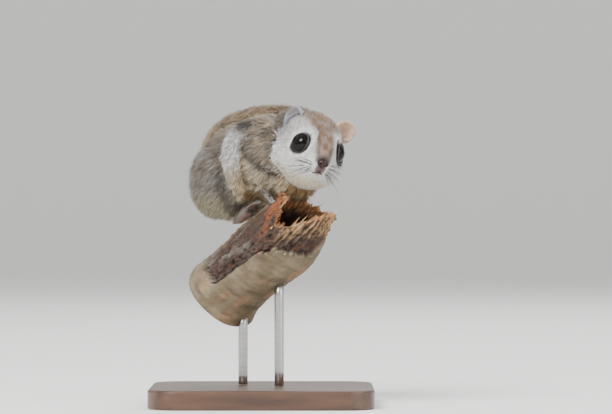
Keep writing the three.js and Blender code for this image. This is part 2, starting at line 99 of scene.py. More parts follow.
# Making of skins and coats
SKIN_SWELL = 0.35
SKIN_VOXEL = 0.75
FOOT_VOXEL = 0.35
SOCKET_PLAY = 0.35
SKIN_SHADE = 0.72
TIP_LIGHT = 1.22
ROOT_DEPTH = 0.35
TUFTS_A_PIECE = 21000
TUFT_POINTS = 7
PATCH = 0.0015
# How each coat grows: its share of the usual density, how far it stands up, its least and greatest height
# over the skin, its share of dark streaks, one in how many tufts leads a clump, and how dark its roots are,
# which is the hair's own dark base deepened by painted shade inside the coat
COATS = {
    "head_coat": {
        "dense": 2.4, "lift": 0.3, "low": 0.15, "high": 4.0, "streaks": 0.08, "one_in": 6, "dark": 0.55,
    },
    "tail_coat": {
        "dense": 2.2, "lift": 0.16, "low": 0.7, "high": 3.2, "streaks": 0.4, "one_in": 12, "dark": 0.4,
    },
    "body_coat": {
        "dense": 1.4, "lift": 0.4, "low": 0.3, "high": 5.0, "streaks": 0.46, "one_in": 11, "dark": 0.4,
    },
}
LEANS = {"foreleg": (-0.8, 0, -0.6), "thigh": (-0.55, 0, -0.85), "membrane": (-0.5, 0, -0.9)}


def local_frame(at, roll=0.0, pitch=0.0, heading=0.0):
    """The origin and the three axes, as columns, of a frame turned by roll, then pitch, then heading."""
    r, p, h = (math.radians(a) for a in (roll, pitch, heading))
    about_x = np.array([[1, 0, 0], [0, math.cos(r), -math.sin(r)], [0, math.sin(r), math.cos(r)]])
    about_y = np.array([[math.cos(p), 0, math.sin(p)], [0, 1, 0], [-math.sin(p), 0, math.cos(p)]])
    about_z = np.array([[math.cos(h), -math.sin(h), 0], [math.sin(h), math.cos(h), 0], [0, 0, 1]])
    return np.array(at, float), about_z @ about_y @ about_x


BODY = local_frame((1, 8, 126), heading=-42)
HEAD = local_frame((26, -22, 133.6), roll=-15, pitch=15, heading=-72)
STUB = local_frame((-5, 5.2, 73.5), pitch=-36.9, heading=-41.6)


def inside(place, points):
    """World points as seen in a local frame."""
    return (np.asarray(points, float) - place[0]) @ place[1]


def outside(place, points):
    return np.asarray(points, float) @ place[1].T + place[0]


def turned(place, ways):
    return np.asarray(ways, float) @ place[1].T


def unit(ways):
    ways = np.asarray(ways, float)
    return ways / np.maximum(np.linalg.norm(ways, axis=-1, keepdims=True), 1e-9)


def eye_centre(side):
    return outside(HEAD, (EYE_AT[0], EYE_AT[1] * side, EYE_AT[2]))


def eye_axis(side):
    out, up = (math.radians(a) for a in EYE_OUT)
    way = (math.cos(out) * math.cos(up), side * math.sin(out) * math.cos(up), math.sin(up))
    return turned(HEAD, way)


def eye_reach(points, side):
    """How far points lie from the eye's axis, so that the edge of its tall opening is at EYE_OPEN."""
    axis = eye_axis(side)
    along = unit(np.cross(axis, turned(HEAD, LID_UP)))
    up = np.cross(along, axis)
    away = np.asarray(points) - eye_centre(side)
    flat = np.hypot(away @ along / EYE_NARROW, away @ up)
    return np.where(away @ axis > -1, flat, 99.0)


def nose_reach(points):
    return np.linalg.norm(points - outside(HEAD, NOSE_AT), axis=1)


# Small maths


def blend(a, b, share):
    return a + (b - a) * share


def ramp(value, low, high):
    """0 below low, 1 above high, smooth between."""
    t = np.clip((np.asarray(value, float) - low) / (high - low), 0, 1)
    return t * t * (3 - 2 * t)


def spot(points, at, radii, out, full):
    """1 in the middle of an ellipsoid, out to full times its radii, and 0 past out times."""
    return ramp(-np.linalg.norm((points - np.array(at)) / radii, axis=1), -out, -full)


def stripe(value, out, full):
    """1 where the value is near 0, out to full, and 0 past out."""
    return ramp(-np.abs(value), -out, -full)


def ridge(value, width):
    return np.exp(-((value / width) ** 2))


def waves(points, size, seed, count=7):
    """Smooth noise from -1 to 1, made of sine waves about the given size apart."""
    draw = np.random.default_rng(seed)
    ways = unit(draw.normal(size=(count, 3))) * (TURN / size) * draw.uniform(0.6, 1.6, (count, 1))
    phase = draw.uniform(0, TURN, count)
    return np.sin(np.asarray(points) @ ways.T + phase).sum(axis=-1) / math.sqrt(count) * 0.8


def drift(points, size, seed):
    return np.stack([waves(points, size, seed + axis) for axis in range(3)], axis=1)


def linear(*colour):
    """A colour given as it looks on a screen, 0 to 255, as linear values."""
    c = np.asarray(colour, float) / 255
    return np.where(c <= 0.04045, c / 12.92, ((c + 0.055) / 1.055) ** 2.4)


def layered(colour, layers):
    """A colour under layers, each a tone and how much of it lies at each place."""
    for tone, share in layers:
        colour = blend(colour, tone, np.clip(share, 0, 1)[:, None])
    return colour


def smooth_path(path, rows):
    """A Catmull-Rom curve through the points."""
    padded = np.vstack([2 * path[0] - path[1], path, 2 * path[-1] - path[-2]])
    out = []
    for value in np.linspace(0, len(path) - 1, rows):
        i = min(int(value), len(path) - 2)
        t = value - i
        p0, p1, p2, p3 = padded[i : i + 4]
        square, cube = 2 * p0 - 5 * p1 + 4 * p2 - p3, 3 * p1 - p0 - 3 * p2 + p3
        out.append(0.5 * (2 * p1 + (p2 - p0) * t + square * t**2 + cube * t**3))
    return np.array(out)


def read_table(table, degrees):
    return np.interp(np.mod(degrees, 360), *zip(*table))


# Meshes


def mesh_of(name, points, faces):
    mesh = bpy.data.meshes.new(name)
    faces = np.asarray(faces, np.int32)
    mesh.vertices.add(len(points))
    mesh.vertices.foreach_set("co", (np.asarray(points) * MM).astype(np.float32).ravel())
    mesh.loops.add(faces.size)
    mesh.loops.foreach_set("vertex_index", faces.ravel())
    mesh.polygons.add(len(faces))
    mesh.polygons.foreach_set("loop_start", np.arange(0, faces.size, faces.shape[1], dtype=np.int32))
    mesh.update(calc_edges=True)
    mesh.shade_smooth()
    return mesh


def object_of(mesh, material=None):
    piece = bpy.data.objects.new(mesh.name, mesh)
    bpy.context.collection.objects.link(piece)
    if material is not None:
        mesh.materials.clear()
        mesh.materials.append(material)
    return piece


def placed(mesh, material, slot, *solids):
    """A finished piece of the model, in place of the named solids."""
    piece = object_of(mesh, material)
    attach(piece, "root")
    if solids:
        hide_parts(*solids)
    return piece


def vectors_of(rows, key):
    flat = np.empty(len(rows) * 3, np.float32)
    rows.foreach_get(key, flat)
    return flat.reshape(-1, 3).astype(float)


def points_of(mesh):
    return vectors_of(mesh.vertices, "co") / MM


def normals_of(mesh):
    return vectors_of(mesh.vertex_normals, "vector")


def move_points(mesh, points):
    mesh.vertices.foreach_set("co", (points * MM).astype(np.float32).ravel())
    mesh.update()


def paint(mesh, name, values):
    """Writes a number, or a colour or vector, on each vertex."""
    values = np.asarray(values, float)
    if values.ndim == 1:
        layer = mesh.attributes.new(name, "FLOAT", "POINT")
        layer.data.foreach_set("value", values.astype(np.float32))
        return
    full = np.ones((len(values), 4), np.float32)
    full[:, :3] = values
    layer = mesh.attributes.new(name, "FLOAT_COLOR", "POINT")
    layer.data.foreach_set("color", full.ravel())


def strips(rows, sides, start=0):
    """Faces between rings of points that follow each other."""
    i, k = np.mgrid[: rows - 1, :sides]
    a, b = start + i * sides + k, start + i * sides + (k + 1) % sides
    corners = np.stack([a, b, b + sides, a, b + sides, a + sides], axis=-1)
    return corners.reshape(-1, 3)


def tube(rows, sides, start=0):
    """Such faces, closed at both ends."""
    k = np.arange(1, sides - 1)
    first, last = start + 0 * k, start + (rows - 1) * sides + 0 * k
    ends = np.stack([first, first + k + 1, first + k, last, last + k, last + k + 1], axis=-1)
    return np.concatenate([strips(rows, sides, start), ends.reshape(-1, 3)])


def ring_of(middle, across, up, sides):
    turn = TURN * np.arange(sides)[:, None] / sides
    return list(middle + np.cos(turn) * across + np.sin(turn) * up)


def read_out(bm):
    """Points and faces of a bmesh, which is then freed."""
    points = np.array([v.co for v in bm.verts])
    faces = np.array([[v.index for v in f.verts] for f in bm.faces])
    bm.free()
    return points, faces


def tidy_normals(mesh):
    bm = bmesh.new()
    bm.from_mesh(mesh)
    bmesh.ops.remove_doubles(bm, verts=bm.verts, dist=1e-7)
    bmesh.ops.recalc_face_normals(bm, faces=bm.faces)
    bm.to_mesh(mesh)
    bm.free()
    mesh.shade_smooth()


def closed_mesh(name, place, points, faces):
    mesh = mesh_of(name, outside(place, points), faces)
    tidy_normals(mesh)
    return mesh


def ball_mesh(name, place, shape, rows=72):
    """A closed ball; shape turns the points of a unit ball into places in the frame."""
    bm = bmesh.new()
    bmesh.ops.create_uvsphere(bm, u_segments=rows, v_segments=rows // 2, radius=1.0)
    bmesh.ops.triangulate(bm, faces=bm.faces)
    points, faces = read_out(bm)
    return mesh_of(name, outside(place, shape(points)), faces)


def rod_mesh(name, place, rods, rows, sides):
    """Closed round rods along paths, each given as (path, radius at its start, radius at its end)."""
    points, faces = [], []
    for path, first, last in rods:
        line = smooth_path(path, rows)
        faces.append(tube(rows, sides, len(points)))
        for i, middle in enumerate(line):
            along = unit(line[min(i + 1, rows - 1)] - line[max(i - 1, 0)])
            across = unit(np.cross(along, (0.13, 0.2, 0.97)))
            radius = blend(first, last, i / (rows - 1))
            points += ring_of(middle, across * radius, np.cross(across, along) * radius, sides)
    return closed_mesh(name, place, points, np.concatenate(faces))


def node_copy(names, swell=0.0):
    """One mesh of the merged CAD nodes, each moved out by the swell, and each face's node."""
    points, faces, owners = [], [], []
    for number, name in enumerate(names):
        bm = bmesh.new()
        bm.from_mesh(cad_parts[name].data)
        bmesh.ops.remove_doubles(bm, verts=bm.verts, dist=1e-6)
        bmesh.ops.triangulate(bm, faces=bm.faces)
        bm.normal_update()
        start = sum(len(p) for p in points)
        points.append(np.array([v.co / MM + v.normal * swell for v in bm.verts]))
        faces.append(read_out(bm)[1] + start)
        owners.append(np.full(len(faces[-1]), number))
    return np.concatenate(points), np.concatenate(faces), np.concatenate(owners)


def tail_core(sides=20, rows=48):
    """The tail under its long hair."""
    line = smooth_path(np.array(TAIL_LINE, float), rows)
    points = []
    for i, middle in enumerate(line):
        t = i / (rows - 1)
        along = unit(line[min(i + 1, rows - 1)] - line[max(i - 1, 0)])
        across = unit(np.array([0, 1, 0]) - along * along[1])
        up = np.cross(along, across)
        half = 6.5 * math.sin(math.pi * min(1, 0.16 + 0.8 * t)) ** 0.6
        thick = 3 * (1 - 0.55 * t**3)
        for k in range(sides):
            turn = TURN * k / sides
            rise = math.sin(turn) * thick - math.cos(turn) ** 2
            points.append(middle + across * math.cos(turn) * half + up * rise)
    return outside(BODY, points), tube(rows, sides)


def socket_ball(side):
    """Flesh behind the eye, which closes its socket."""
    bm = bmesh.new()
    bmesh.ops.create_icosphere(bm, subdivisions=4, radius=EYE_RADIUS - SOCKET_PLAY)
    points, faces = read_out(bm)
    return points + eye_centre(side), faces


def modified(piece, kind, **values):
    modifier = piece.modifiers.new(kind.lower(), kind)
    for key, value in values.items():
        setattr(modifier, key, value)
    return modifier


def plain_mesh(rough, name):
    """The finished mesh of an object with modifiers, which is then removed."""
    view = bpy.context.evaluated_depsgraph_get()
    mesh = bpy.data.meshes.new_from_object(rough.evaluated_get(view))
    old = rough.data
    bpy.data.objects.remove(rough)
    bpy.data.meshes.remove(old)
    mesh.name = name
    return mesh


def remeshed(name, points, faces, voxel, rounds):
    """One closed skin round the points' shape, with even small faces, smoothed."""
    rough = object_of(mesh_of(name + "_rough", points, faces))
    modified(rough, "REMESH", mode="VOXEL", voxel_size=voxel * MM, use_smooth_shade=True)
    modified(rough, "SMOOTH", iterations=rounds, factor=0.5)
    return plain_mesh(rough, name)


def triangles_of(mesh):
    mesh.calc_loop_triangles()
    found = []
    for key in ("vertices", "loops"):
        flat = np.empty(len(mesh.loop_triangles) * 3, np.int32)
        mesh.loop_triangles.foreach_get(key, flat)
        found.append(flat.reshape(-1, 3))
    return found


def unwrapped(piece):
    """Lays the piece's own shape out flat in its map OFBake."""
    piece.data.uv_layers.new(name="OFBake")
    bpy.ops.object.select_all(action="DESELECT")
    piece.select_set(True)
    bpy.context.view_layer.objects.active = piece
    bpy.ops.object.mode_set(mode="EDIT")
    bpy.ops.mesh.select_all(action="SELECT")
    bpy.ops.uv.smart_project(angle_limit=math.radians(66), island_margin=0.002)
    bpy.ops.object.mode_set(mode="OBJECT")


# The coat: what lies where, by name of the solid that a place belongs to

PAIRED = [part + "_" + side for part in ("foreleg", "thigh", "membrane") for side in SIDES]
FLESH = ["head", "neck", "torso", *PAIRED, "tail"]
FEET = [part + "_" + side for part in ("hind_foot", "forepaw") for side in SIDES]

GREY = linear(132, 121, 108)
DARK = linear(58, 50, 44)
TAN = linear(178, 152, 118)
BUFF = linear(192, 174, 144)
OCHRE = linear(178, 146, 100)
OLIVE = linear(170, 160, 126)
CREAM = linear(222, 206, 176)
WHITE = linear(234, 233, 230)
ASH = linear(200, 196, 190)
SLATE = linear(140, 146, 158)
BROWN = linear(122, 90, 62)
UMBER = linear(74, 56, 46)
NOSE_RED = linear(82, 47, 39)
NOSE_DARK = linear(46, 32, 29)
RIM_DARK = linear(13, 9, 8)

# Tones of the ears' and feet's skin and hair, and of bark and wood
EAR_LOW = linear(160, 132, 112)
EAR_HIGH = linear(194, 166, 140)
EAR_BLUE = linear(132, 136, 148)
EAR_HAIR = {"right": linear(168, 174, 186), "left": linear(206, 184, 158)}
# upper skin of the feet: dark grey, darkened further as painted shade
FOOT_TOP = linear(106, 98, 90)
FOOT_SOLE = linear(118, 92, 84)
# hair of the hind feet: dark grey, darkened further as painted shade
FOOT_HAIR = linear(112, 104, 95)
PAW_HAIR = linear(206, 202, 194)
SAWN = linear(168, 136, 98)
RIM_WOOD = linear(176, 128, 84)
ORANGE = linear(138, 78, 42)
PALE_WOOD = linear(194, 156, 112)
GREY_WOOD = linear(112, 103, 95)
BARK_PALE = linear(136, 124, 102)
BARK_DARK = linear(84, 72, 56)
BARK_RED = linear(164, 122, 92)
BARK_RIM = linear(140, 130, 114)
FIBRE_LOW = linear(168, 112, 70)
FIBRE_HIGH = linear(200, 164, 120)

# Lower edge of the upper arm and front edge of the haunch, along which shade is painted: (along, up) and
# (up, along) in the body's frame
ARM_LINE = ((6.6, 13.6), (7.3, 9.5), (11.2, 5.3), (15.4, 1.7), (20.4, -1.4), (22.3, -4.0), (25.1, -7.1))
HAUNCH_LINE = ((-18.3, -2.1), (-14.2, -3.6), (-9.0, -6.3), (-3.8, -8.8))


def is_part(owner, part):
    """Which places belong to a part, on either side; owner holds the index in FLESH of each place."""
    return np.isin(owner, [number for number, name in enumerate(FLESH) if name.split("_")[0] == part])


def head_colours(points):
    """Root colours of the head's coat."""
    q = inside(HEAD, points)
    x, y, z = q[:, 0], q[:, 1], q[:, 2]
    mottle = waves(points, 5, 11)
    layers = [
        (SLATE, 0.3 * ramp(waves(points, 6, 14), -0.2, 0.9)),
        (WHITE, ramp(-z, -1, 5)),
        (CREAM, ramp(-z, 9, 15) * 0.8),
    ]
    # blue-grey towards the ears, grey crown
    for side in SIDES.values():
        layers.append((SLATE, spot(q, (-5, 11.0 * side, 4), (9, 7, 8), 1.1, 0.4) * (0.6 + 0.2 * mottle)))
    layers.append((GREY, ramp(z, 10.5, 14.5) * ramp(-x, -9, 1) * 0.8))
    # warm stripe from the crown down to the nose, with a dark line from each eye to the nose
    half = 6.9 - 0.16 * (x - 2) + 2.2 * ramp(z, 3, 12)
    y = y - 1.2 * ramp(z, 2, 10)
    warm = ramp(half - np.abs(y), -1.3, 1.8) * ramp(z, -3.0, 1.5)
    layers += [
        (BROWN, warm * (0.85 + 0.2 * mottle)),
        (BUFF, warm * stripe(y, 2.6, 0.6) * ramp(waves(points, 4, 13), 0, 1) * 0.35),
        (UMBER, stripe(np.abs(y) - half * 0.8, 1.5, 0.3) * ramp(x, 8, 13) * ramp(z, -5.5, -2.5) * 0.6),
    ]
    # pale ring round each eye, dark rim against it, white cheek, whisker pad
    for side in SIDES.values():
        far = eye_reach(points, side)
        layers += [
            (WHITE, ramp(-far, -10.0, -7.6) * 0.85),
            (RIM_DARK, ramp(-far, -6.6, -5.9)),
            (WHITE, spot(q, (-4, 14.0 * side, -9), (8, 7, 6), 1.1, 0.5)),
            (SLATE, spot(q, (8, 9.0 * side, -7), (5, 5, 3.5), 1.2, 0.5) * 0.35),
            (DARK, spot(q, (17.5, 4.6 * side, -5.2), (3.6, 2.2, 1.6), 1.2, 0.3) * 0.45),
        ]
    layers += [
        (NOSE_RED, spot(q, (21.0, 0, -6.2), (4.6, 2.7, 4.0), 1.3, 0.7) * 0.9),
        (NOSE_DARK, spot(q, (20.6, 0, -1.8), (4.6, 3.8, 2.6), 1.25, 0.6) * 0.85),
    ]
    return layered(ASH, layers)


def body_colours(points, owner):
    """Root colours of the body's coat."""
    q = inside(BODY, points)
    x, y, z = q[:, 0], np.abs(q[:, 1]), q[:, 2]
    mottle = waves(points, 9, 12)
    parts = ("torso", "neck", "tail", "thigh", "foreleg", "membrane")
    torso, neck, tail, thigh, foreleg, fold = (is_part(owner, part).astype(float) for part in parts)
    # pale side of the chest below the upper arm, with painted shade in a dark line along the arm's lower
    # edge
    below = np.interp(x, *zip(*ARM_LINE)) - z
    flank = ramp(y, 6, 10) * ramp(x, 6.5, 10) * ramp(-x, -29, -24) * (1 - tail)
    front = np.interp(z, *zip(*HAUNCH_LINE))
    return layered(GREY, [
        (BUFF, torso * ramp(z, 8, 22) * 0.6),
        (OCHRE, torso * ramp(-z, -2, 8) * ramp(x, -12, 0)),
        (CREAM, torso * ramp(-z, 15, 24) * 0.7),
        (TAN, tail * (0.6 + 0.3 * mottle)),
        (CREAM, neck * ramp(-z, -8, 6) * 0.9),
        (BUFF, foreleg * (0.3 + 0.25 * mottle)),
        (OCHRE, foreleg * ramp(-z, 3, 12) * 0.6),
        (DARK, foreleg * ramp(-x, -4, 3) * 0.4),
        (DARK, foreleg * stripe(z + 6 + 0.35 * x, 3.2, 0.6) * 0.75),
        (UMBER, torso * ramp(z, -14, -4) * stripe(x - 9, 5, 1) * ramp(y, 8, 14) * 0.6),
        (WHITE, fold * ramp(20 - z, -2, 6)),
        (CREAM, fold * ramp(-z, -4, 10)),
        (OCHRE, fold * ramp(x, 1, 6) * ramp(-z, -6, 6) * 0.7),
        (DARK, fold * ramp(z, 13, 20) * 0.3),
        (ASH, thigh * (0.2 + 0.3 * mottle)),
        (OLIVE, thigh * ramp(-z, 10, 20) * 0.85),
        (CREAM, ramp(below, 0.3, 2.0) * flank * (0.75 + 0.15 * mottle)),
        (OCHRE, ramp(below, 1, 4) * flank * ramp(-x, -15, -9) * 0.6),
        # painted shade under the lower edge of the upper arm
        (DARK, stripe(below + 0.9, 2.4, 0.5) * flank * 0.85),
        (DARK, ramp(-below, 2, 5) * ramp(below, -14, -3) * flank * ramp(mottle, -0.6, 0.8) * 0.3),
        # painted shade in the crease where the haunch's front edge meets the fold
        (DARK, stripe(x - front + 1.2, 3.4, 0.8) * ramp(-z, 0, 5) * ramp(z, -26, -19) * thigh * 0.75),
        (DARK, spot(np.stack([x, y, z], axis=1), (9, 24, 19.5), (5, 5, 3), 1.2, 0.5) * 0.65),
    ])


def coat_colours(points, owner):
    return np.where(is_part(owner, "head")[:, None], head_colours(points), body_colours(points, owner))


def lie_of_coat(points, normals, owner):
    """The way in which the hair lies at each place, along the skin."""
    body = inside(BODY, points)
    head = inside(HEAD, points)
    down = np.where(np.abs(body[:, 1]) > 8, 0.5, 0.15) + 0.35 * ramp(-body[:, 0], 5, 25)
    way = turned(BODY, np.stack([-np.ones(len(points)), 0.12 * np.sign(body[:, 1]), -down], axis=1))
    # along the tail and outwards to its sides
    line = np.array(TAIL_LINE, float)
    middle = (line[1:] + line[:-1]) / 2
    steps = unit(line[1:] - line[:-1])
    nearest = np.argmin(np.linalg.norm(body[:, None] - middle[None], axis=2), axis=1)
    aside = body[:, 1] - middle[nearest, 1]
    across = np.sign(aside) * (0.12 + ramp(np.abs(aside), 0.5, 6.5))
    sideways = np.stack([0 * across, 0.95 * across, 0 * across], 1)
    along = steps[nearest] * (1 - 0.3 * np.abs(across))[:, None] + sideways
    own = is_part(owner, "tail")
    way[own] = turned(BODY, along)[own]
    # back from the nose and away from the eyes
    own = is_part(owner, "head")
    from_nose = head - np.array([24, 0, -3])
    from_nose[:, 2] -= 2.0 * ramp(-head[:, 2], 2, 10)
    way[own] = turned(HEAD, from_nose)[own]
    for side in SIDES.values():
        away = points - eye_centre(side)
        near = (ramp(-eye_reach(points, side), -11, -6.5) * own)[:, None]
        way = unit(way) * (1 - near) + unit(away) * near * 1.1
    for part, lean in LEANS.items():
        way[is_part(owner, part)] = turned(BODY, lean)
    way = unit(way) + 0.16 * drift(points, 14, 21) + 0.14 * drift(points, 5, 24)
    way -= normals * np.sum(way * normals, axis=1, keepdims=True)
    return unit(way)


# Materials


def shader_of(material):
    return material.node_tree.nodes["Principled BSDF"]


def material_of(name, roughness, **sockets):
    material = bpy.data.materials.new(name)
    material.use_nodes = True
    for socket, value in {"Roughness": roughness, **sockets}.items():
        shader_of(material).inputs[socket.replace("_", " ")].default_value = value
    return material


def add_node(material, kind, links=(), **values):
    """A new shader node; links pair its inputs with outputs, values go to its inputs or settings."""
    node = material.node_tree.nodes.new(kind)
    for key, value in values.items():
        socket = key.replace("_", " ")
        if socket in node.inputs:
            node.inputs[socket].default_value = value
        else:
            setattr(node, key, value)
    for socket, output in links:
        material.node_tree.links.new(output, node.inputs[socket])
    return node


def made(material, kind, output, links=(), **values):
    """One output of a new shader node."""
    return add_node(material, kind, links, **values).outputs[output]


def link(material, output, socket):
    material.node_tree.links.new(output, shader_of(material).inputs[socket])


def attribute(material, name, output="Color"):
    return made(material, "ShaderNodeAttribute", output, attribute_name=name)


def own_places(material):
    return made(material, "ShaderNodeTexCoord", "Object")


def stretched(material, scale):
    """The piece's own places, drawn out along its grain."""
    return made(material, "ShaderNodeMapping", "Vector", [("Vector", own_places(material))], Scale=scale)


def noise(material, scale, places=None, **values):
    places = places or own_places(material)
    return made(material, "ShaderNodeTexNoise", "Fac", [("Vector", places)], Scale=scale, **values)


def mapped(material, value, low, high):
    """A value from 0 to 1, drawn out to between low and high."""
    return made(material, "ShaderNodeMapRange", "Result", [("Value", value)], To_Min=low, To_Max=high)


def product(material, a, b):
    return made(material, "ShaderNodeVectorMath", "Vector", [(0, a), (1, b)], operation="MULTIPLY")


def two_tones(material, share, low, high, start=0.0, end=1.0):
    """Gives the base colour two tones, which change over from start to end."""
    tones = add_node(material, "ShaderNodeValToRGB", [("Fac", share)])
    for stop, place, tone in zip(tones.color_ramp.elements, (start, end), (low, high)):
        stop.position = place
        stop.color = (*tone, 1)
    link(material, tones.outputs["Color"], "Base Color")


def bumped(material, height, strength, distance):
    """Roughens the surface; the strength is a number or another node's output."""
    bump = add_node(material, "ShaderNodeBump", [("Height", height)], Distance=distance)
    if isinstance(strength, float):
        bump.inputs["Strength"].default_value = strength
    else:
        material.node_tree.links.new(strength, bump.inputs["Strength"])
    link(material, bump.outputs["Normal"], "Normal")


def coat_material():
    """Hair: its colour is on the mesh, darker at the root, where the hair's own dark base is deepened by
    painted shade.
    """
    material = material_of("coat_hair", 0.62, Sheen_Weight=0.12, Sheen_Roughness=0.5, Specular_IOR_Level=0.3)
    shade = mapped(material, noise(material, 900.0, Detail=2.0), 0.8, 1.2)
    link(material, product(material, attribute(material, "tint"), shade), "Base Color")
    return material


def coat_hair():
    return bpy.data.materials["coat_hair"]


def skin_material(name="under_coat", roughness=0.85, **sockets):
    material = material_of(name, roughness, **sockets)
    link(material, attribute(material, "tint"), "Base Color")
    bumped(material, noise(material, 1400.0, Detail=3.0), 0.5, 0.0003)
    return material


def eye_material():
    material = material_of("eye_gloss", 0.05, Specular_IOR_Level=0.2)
    two_tones(material, noise(material, 140.0, Detail=2.0), (0.0015, 0.0012, 0.001), (0.006, 0.0035, 0.0025))
    return material


def bare_skin_material(name, low, high, roughness, **sockets):
    """Naked skin such as the nose and the lids, with fine creases."""
    material = material_of(name, roughness, Subsurface_Weight=0.15, Subsurface_Scale=0.0008, **sockets)
    places = own_places(material)
    cells = made(material, "ShaderNodeTexVoronoi", "Distance", [("Vector", places)], Scale=2600.0)
    cloud = noise(material, 420.0, places, Detail=3.0)
    two_tones(material, cloud, linear(*low), linear(*high), 0.35, 0.65)
    bumped(material, cells, 0.4, 0.0002)
    return material


def stub_material():
    """Bark and wood: the mesh carries its colours, its grain runs along the stub."""
    material = material_of("bark_and_wood", 0.85)
    raw = attribute(material, "raw", "Fac")
    fine = noise(material, 9.0, attribute(material, "grain", "Vector"), Detail=6.0, Roughness=0.65)
    specks = noise(material, 520.0, Detail=4.0)
    low, high = mapped(material, raw, 0.9, 0.55), mapped(material, raw, 1.08, 1.35)
    links = [("Value", fine), ("To Min", low), ("To Max", high)]
    shade = made(material, "ShaderNodeMapRange", "Result", links, From_Min=0.3, From_Max=0.7)
    tone = product(material, attribute(material, "tint"), shade)
    link(material, product(material, tone, mapped(material, specks, 0.75, 1.25)), "Base Color")
    height = made(material, "ShaderNodeMath", "Value", [(0, fine), (1, specks)])
    bumped(material, height, mapped(material, raw, 0.25, 0.8), 0.0006)
    return material


def base_material(tone):
    """Stained hardwood with long grain."""
    material = material_of("stained_wood", 0.38, Coat_Weight=0.25, Coat_Roughness=0.2)
    rings = noise(material, 2.2, stretched(material, (9, 90, 60)), Detail=7.0)
    two_tones(material, rings, [c * 0.45 for c in tone], tone, 0.35, 0.68)
    bumped(material, rings, 0.15, 0.0003)
    return material


def steel_material():
    material = material_of("brushed_rod", 0.3, Metallic=1.0)
    lines = noise(material, 1.0, stretched(material, (60, 60, 2400)), Detail=2.0)
    two_tones(material, lines, (0.34, 0.335, 0.33), (0.55, 0.545, 0.535))
    bumped(material, lines, 0.08, 0.0001)
    return material


def whisker_material():
    """Dark at the root, paler towards the tip."""
    material = material_of("whisker_hair", 0.4)
    taper = attribute(material, "taper", "Fac")
    two_tones(material, taper, (0.5, 0.48, 0.45), (0.02, 0.016, 0.014), 0.2, 0.7)
    link(material, mapped(material, noise(material, 90.0), 0.3, 0.5), "Roughness")
    return material


# Tufts


def scattered(mesh, per_square, weights, seed):
    """Random places on a mesh: points, normals, nearest vertices and places in its map."""
    points, normals = points_of(mesh), normals_of(mesh)
    corners, loops = triangles_of(mesh)
    a, b, c = (points[corners[:, i]] for i in range(3))
    area = np.linalg.norm(np.cross(b - a, c - a), axis=1) / 2
    want = area * per_square * weights[corners].mean(axis=1)
    draw = np.random.default_rng(seed)
    total = int(want.sum())
    picks = draw.choice(len(want), size=total, p=want / want.sum())
    u, v = draw.random(total), draw.random(total)
    flip = u + v > 1
    u[flip], v[flip] = 1 - u[flip], 1 - v[flip]
    shares = np.stack([1 - u - v, u, v], axis=1)
    place = (points[corners[picks]] * shares[:, :, None]).sum(axis=1)
    normal = unit((normals[corners[picks]] * shares[:, :, None]).sum(axis=1))
    nearest = corners[picks, np.argmax(shares, axis=1)]
    flat = np.empty(len(mesh.loops) * 2, np.float32)
    mesh.uv_layers["OFBake"].data.foreach_get("uv", flat)
    spread = (flat.reshape(-1, 2)[loops[picks]] * shares[:, :, None]).sum(axis=1)
    return place, normal, nearest, spread


def clumped(roots, tips, seed, share, one_in):
    """Draws the tips of neighbouring tufts together."""
    draw = np.random.default_rng(seed)
    chosen = draw.choice(len(roots), size=max(1, len(roots) // one_in), replace=False)
    tree = KDTree(len(chosen))
    for number, index in enumerate(chosen):
        tree.insert(roots[index], number)
    tree.balance()
    near = chosen[[tree.find(root)[1] for root in roots]]
    pull = (share * draw.uniform(0.4, 1.2, len(roots)))[:, None]
    reach = np.linalg.norm(tips - roots, axis=1, keepdims=True)
    aim = roots + unit(tips[near] - roots) * reach
    return blend(tips, aim, pull), near


def laid(tips, tree, low, high):
    """Brings each tip to between the low and the high distance over the skin."""
    moved = tips.copy()
    for i, tip in enumerate(tips):
        near, way, _, _ = tree.find_nearest(Vector(tip))
        height = (Vector(tip) - near).dot(way)
        if not low[i] <= height <= high[i]:
            moved[i] = near + way * min(max(height, low[i]), high[i])
    return moved


def tuft_mesh(name, data, seed):
    """Three-sided tapered tufts, bent over from the root towards the tip."""
    roots, tips, normals = data["roots"], data["tips"], data["normals"]
    count = len(roots)
    draw = np.random.default_rng(seed)
    reach = np.linalg.norm(tips - roots, axis=1, keepdims=True)
    side = unit(np.cross(data["ways"], normals))
    rise = normals * reach * draw.uniform(0.04, 0.12, (count, 1))
    rings = []
    for share, width, lift in ((0.0, 1.0, -0.4), (0.45, 0.85, 1.0)):
        middle = blend(roots, tips, share) + rise * lift
        half = (data["widths"] * width)[:, None]
        rings += [middle - side * half, middle + side * half, middle + normals * half * 0.7]
    points = np.stack(rings + [tips], axis=1)
    pattern = np.array(
        [[0, 1, 4], [0, 4, 3], [1, 2, 5], [1, 5, 4], [2, 0, 3], [2, 3, 5], [3, 4, 6], [4, 5, 6], [5, 3, 6]]
    )[:, ::-1]
    faces = (pattern[None] + np.arange(count)[:, None, None] * TUFT_POINTS).reshape(-1, 3)
    mesh = mesh_of(name, points.reshape(-1, 3), faces)
    shares = np.array([0.0] * 3 + [0.55] * 3 + [1.0])[None, :, None]
    tint = blend(data["root_tone"][:, None], data["tip_tone"][:, None], shares)
    paint(mesh, "tint", tint.reshape(-1, 3))
    patch = np.array([[-1, -1], [1, -1], [0, -1], [-1, 0.2], [1, 0.2], [0, 0.2], [0, 1]]) * PATCH
    flat = np.clip(data["spread"][:, None] + patch[None], 0, 1).reshape(-1, 2)
    layer = mesh.uv_layers.new(name="OFBake")
    layer.data.foreach_set("uv", flat[faces.ravel()].astype(np.float32).ravel())
    return mesh


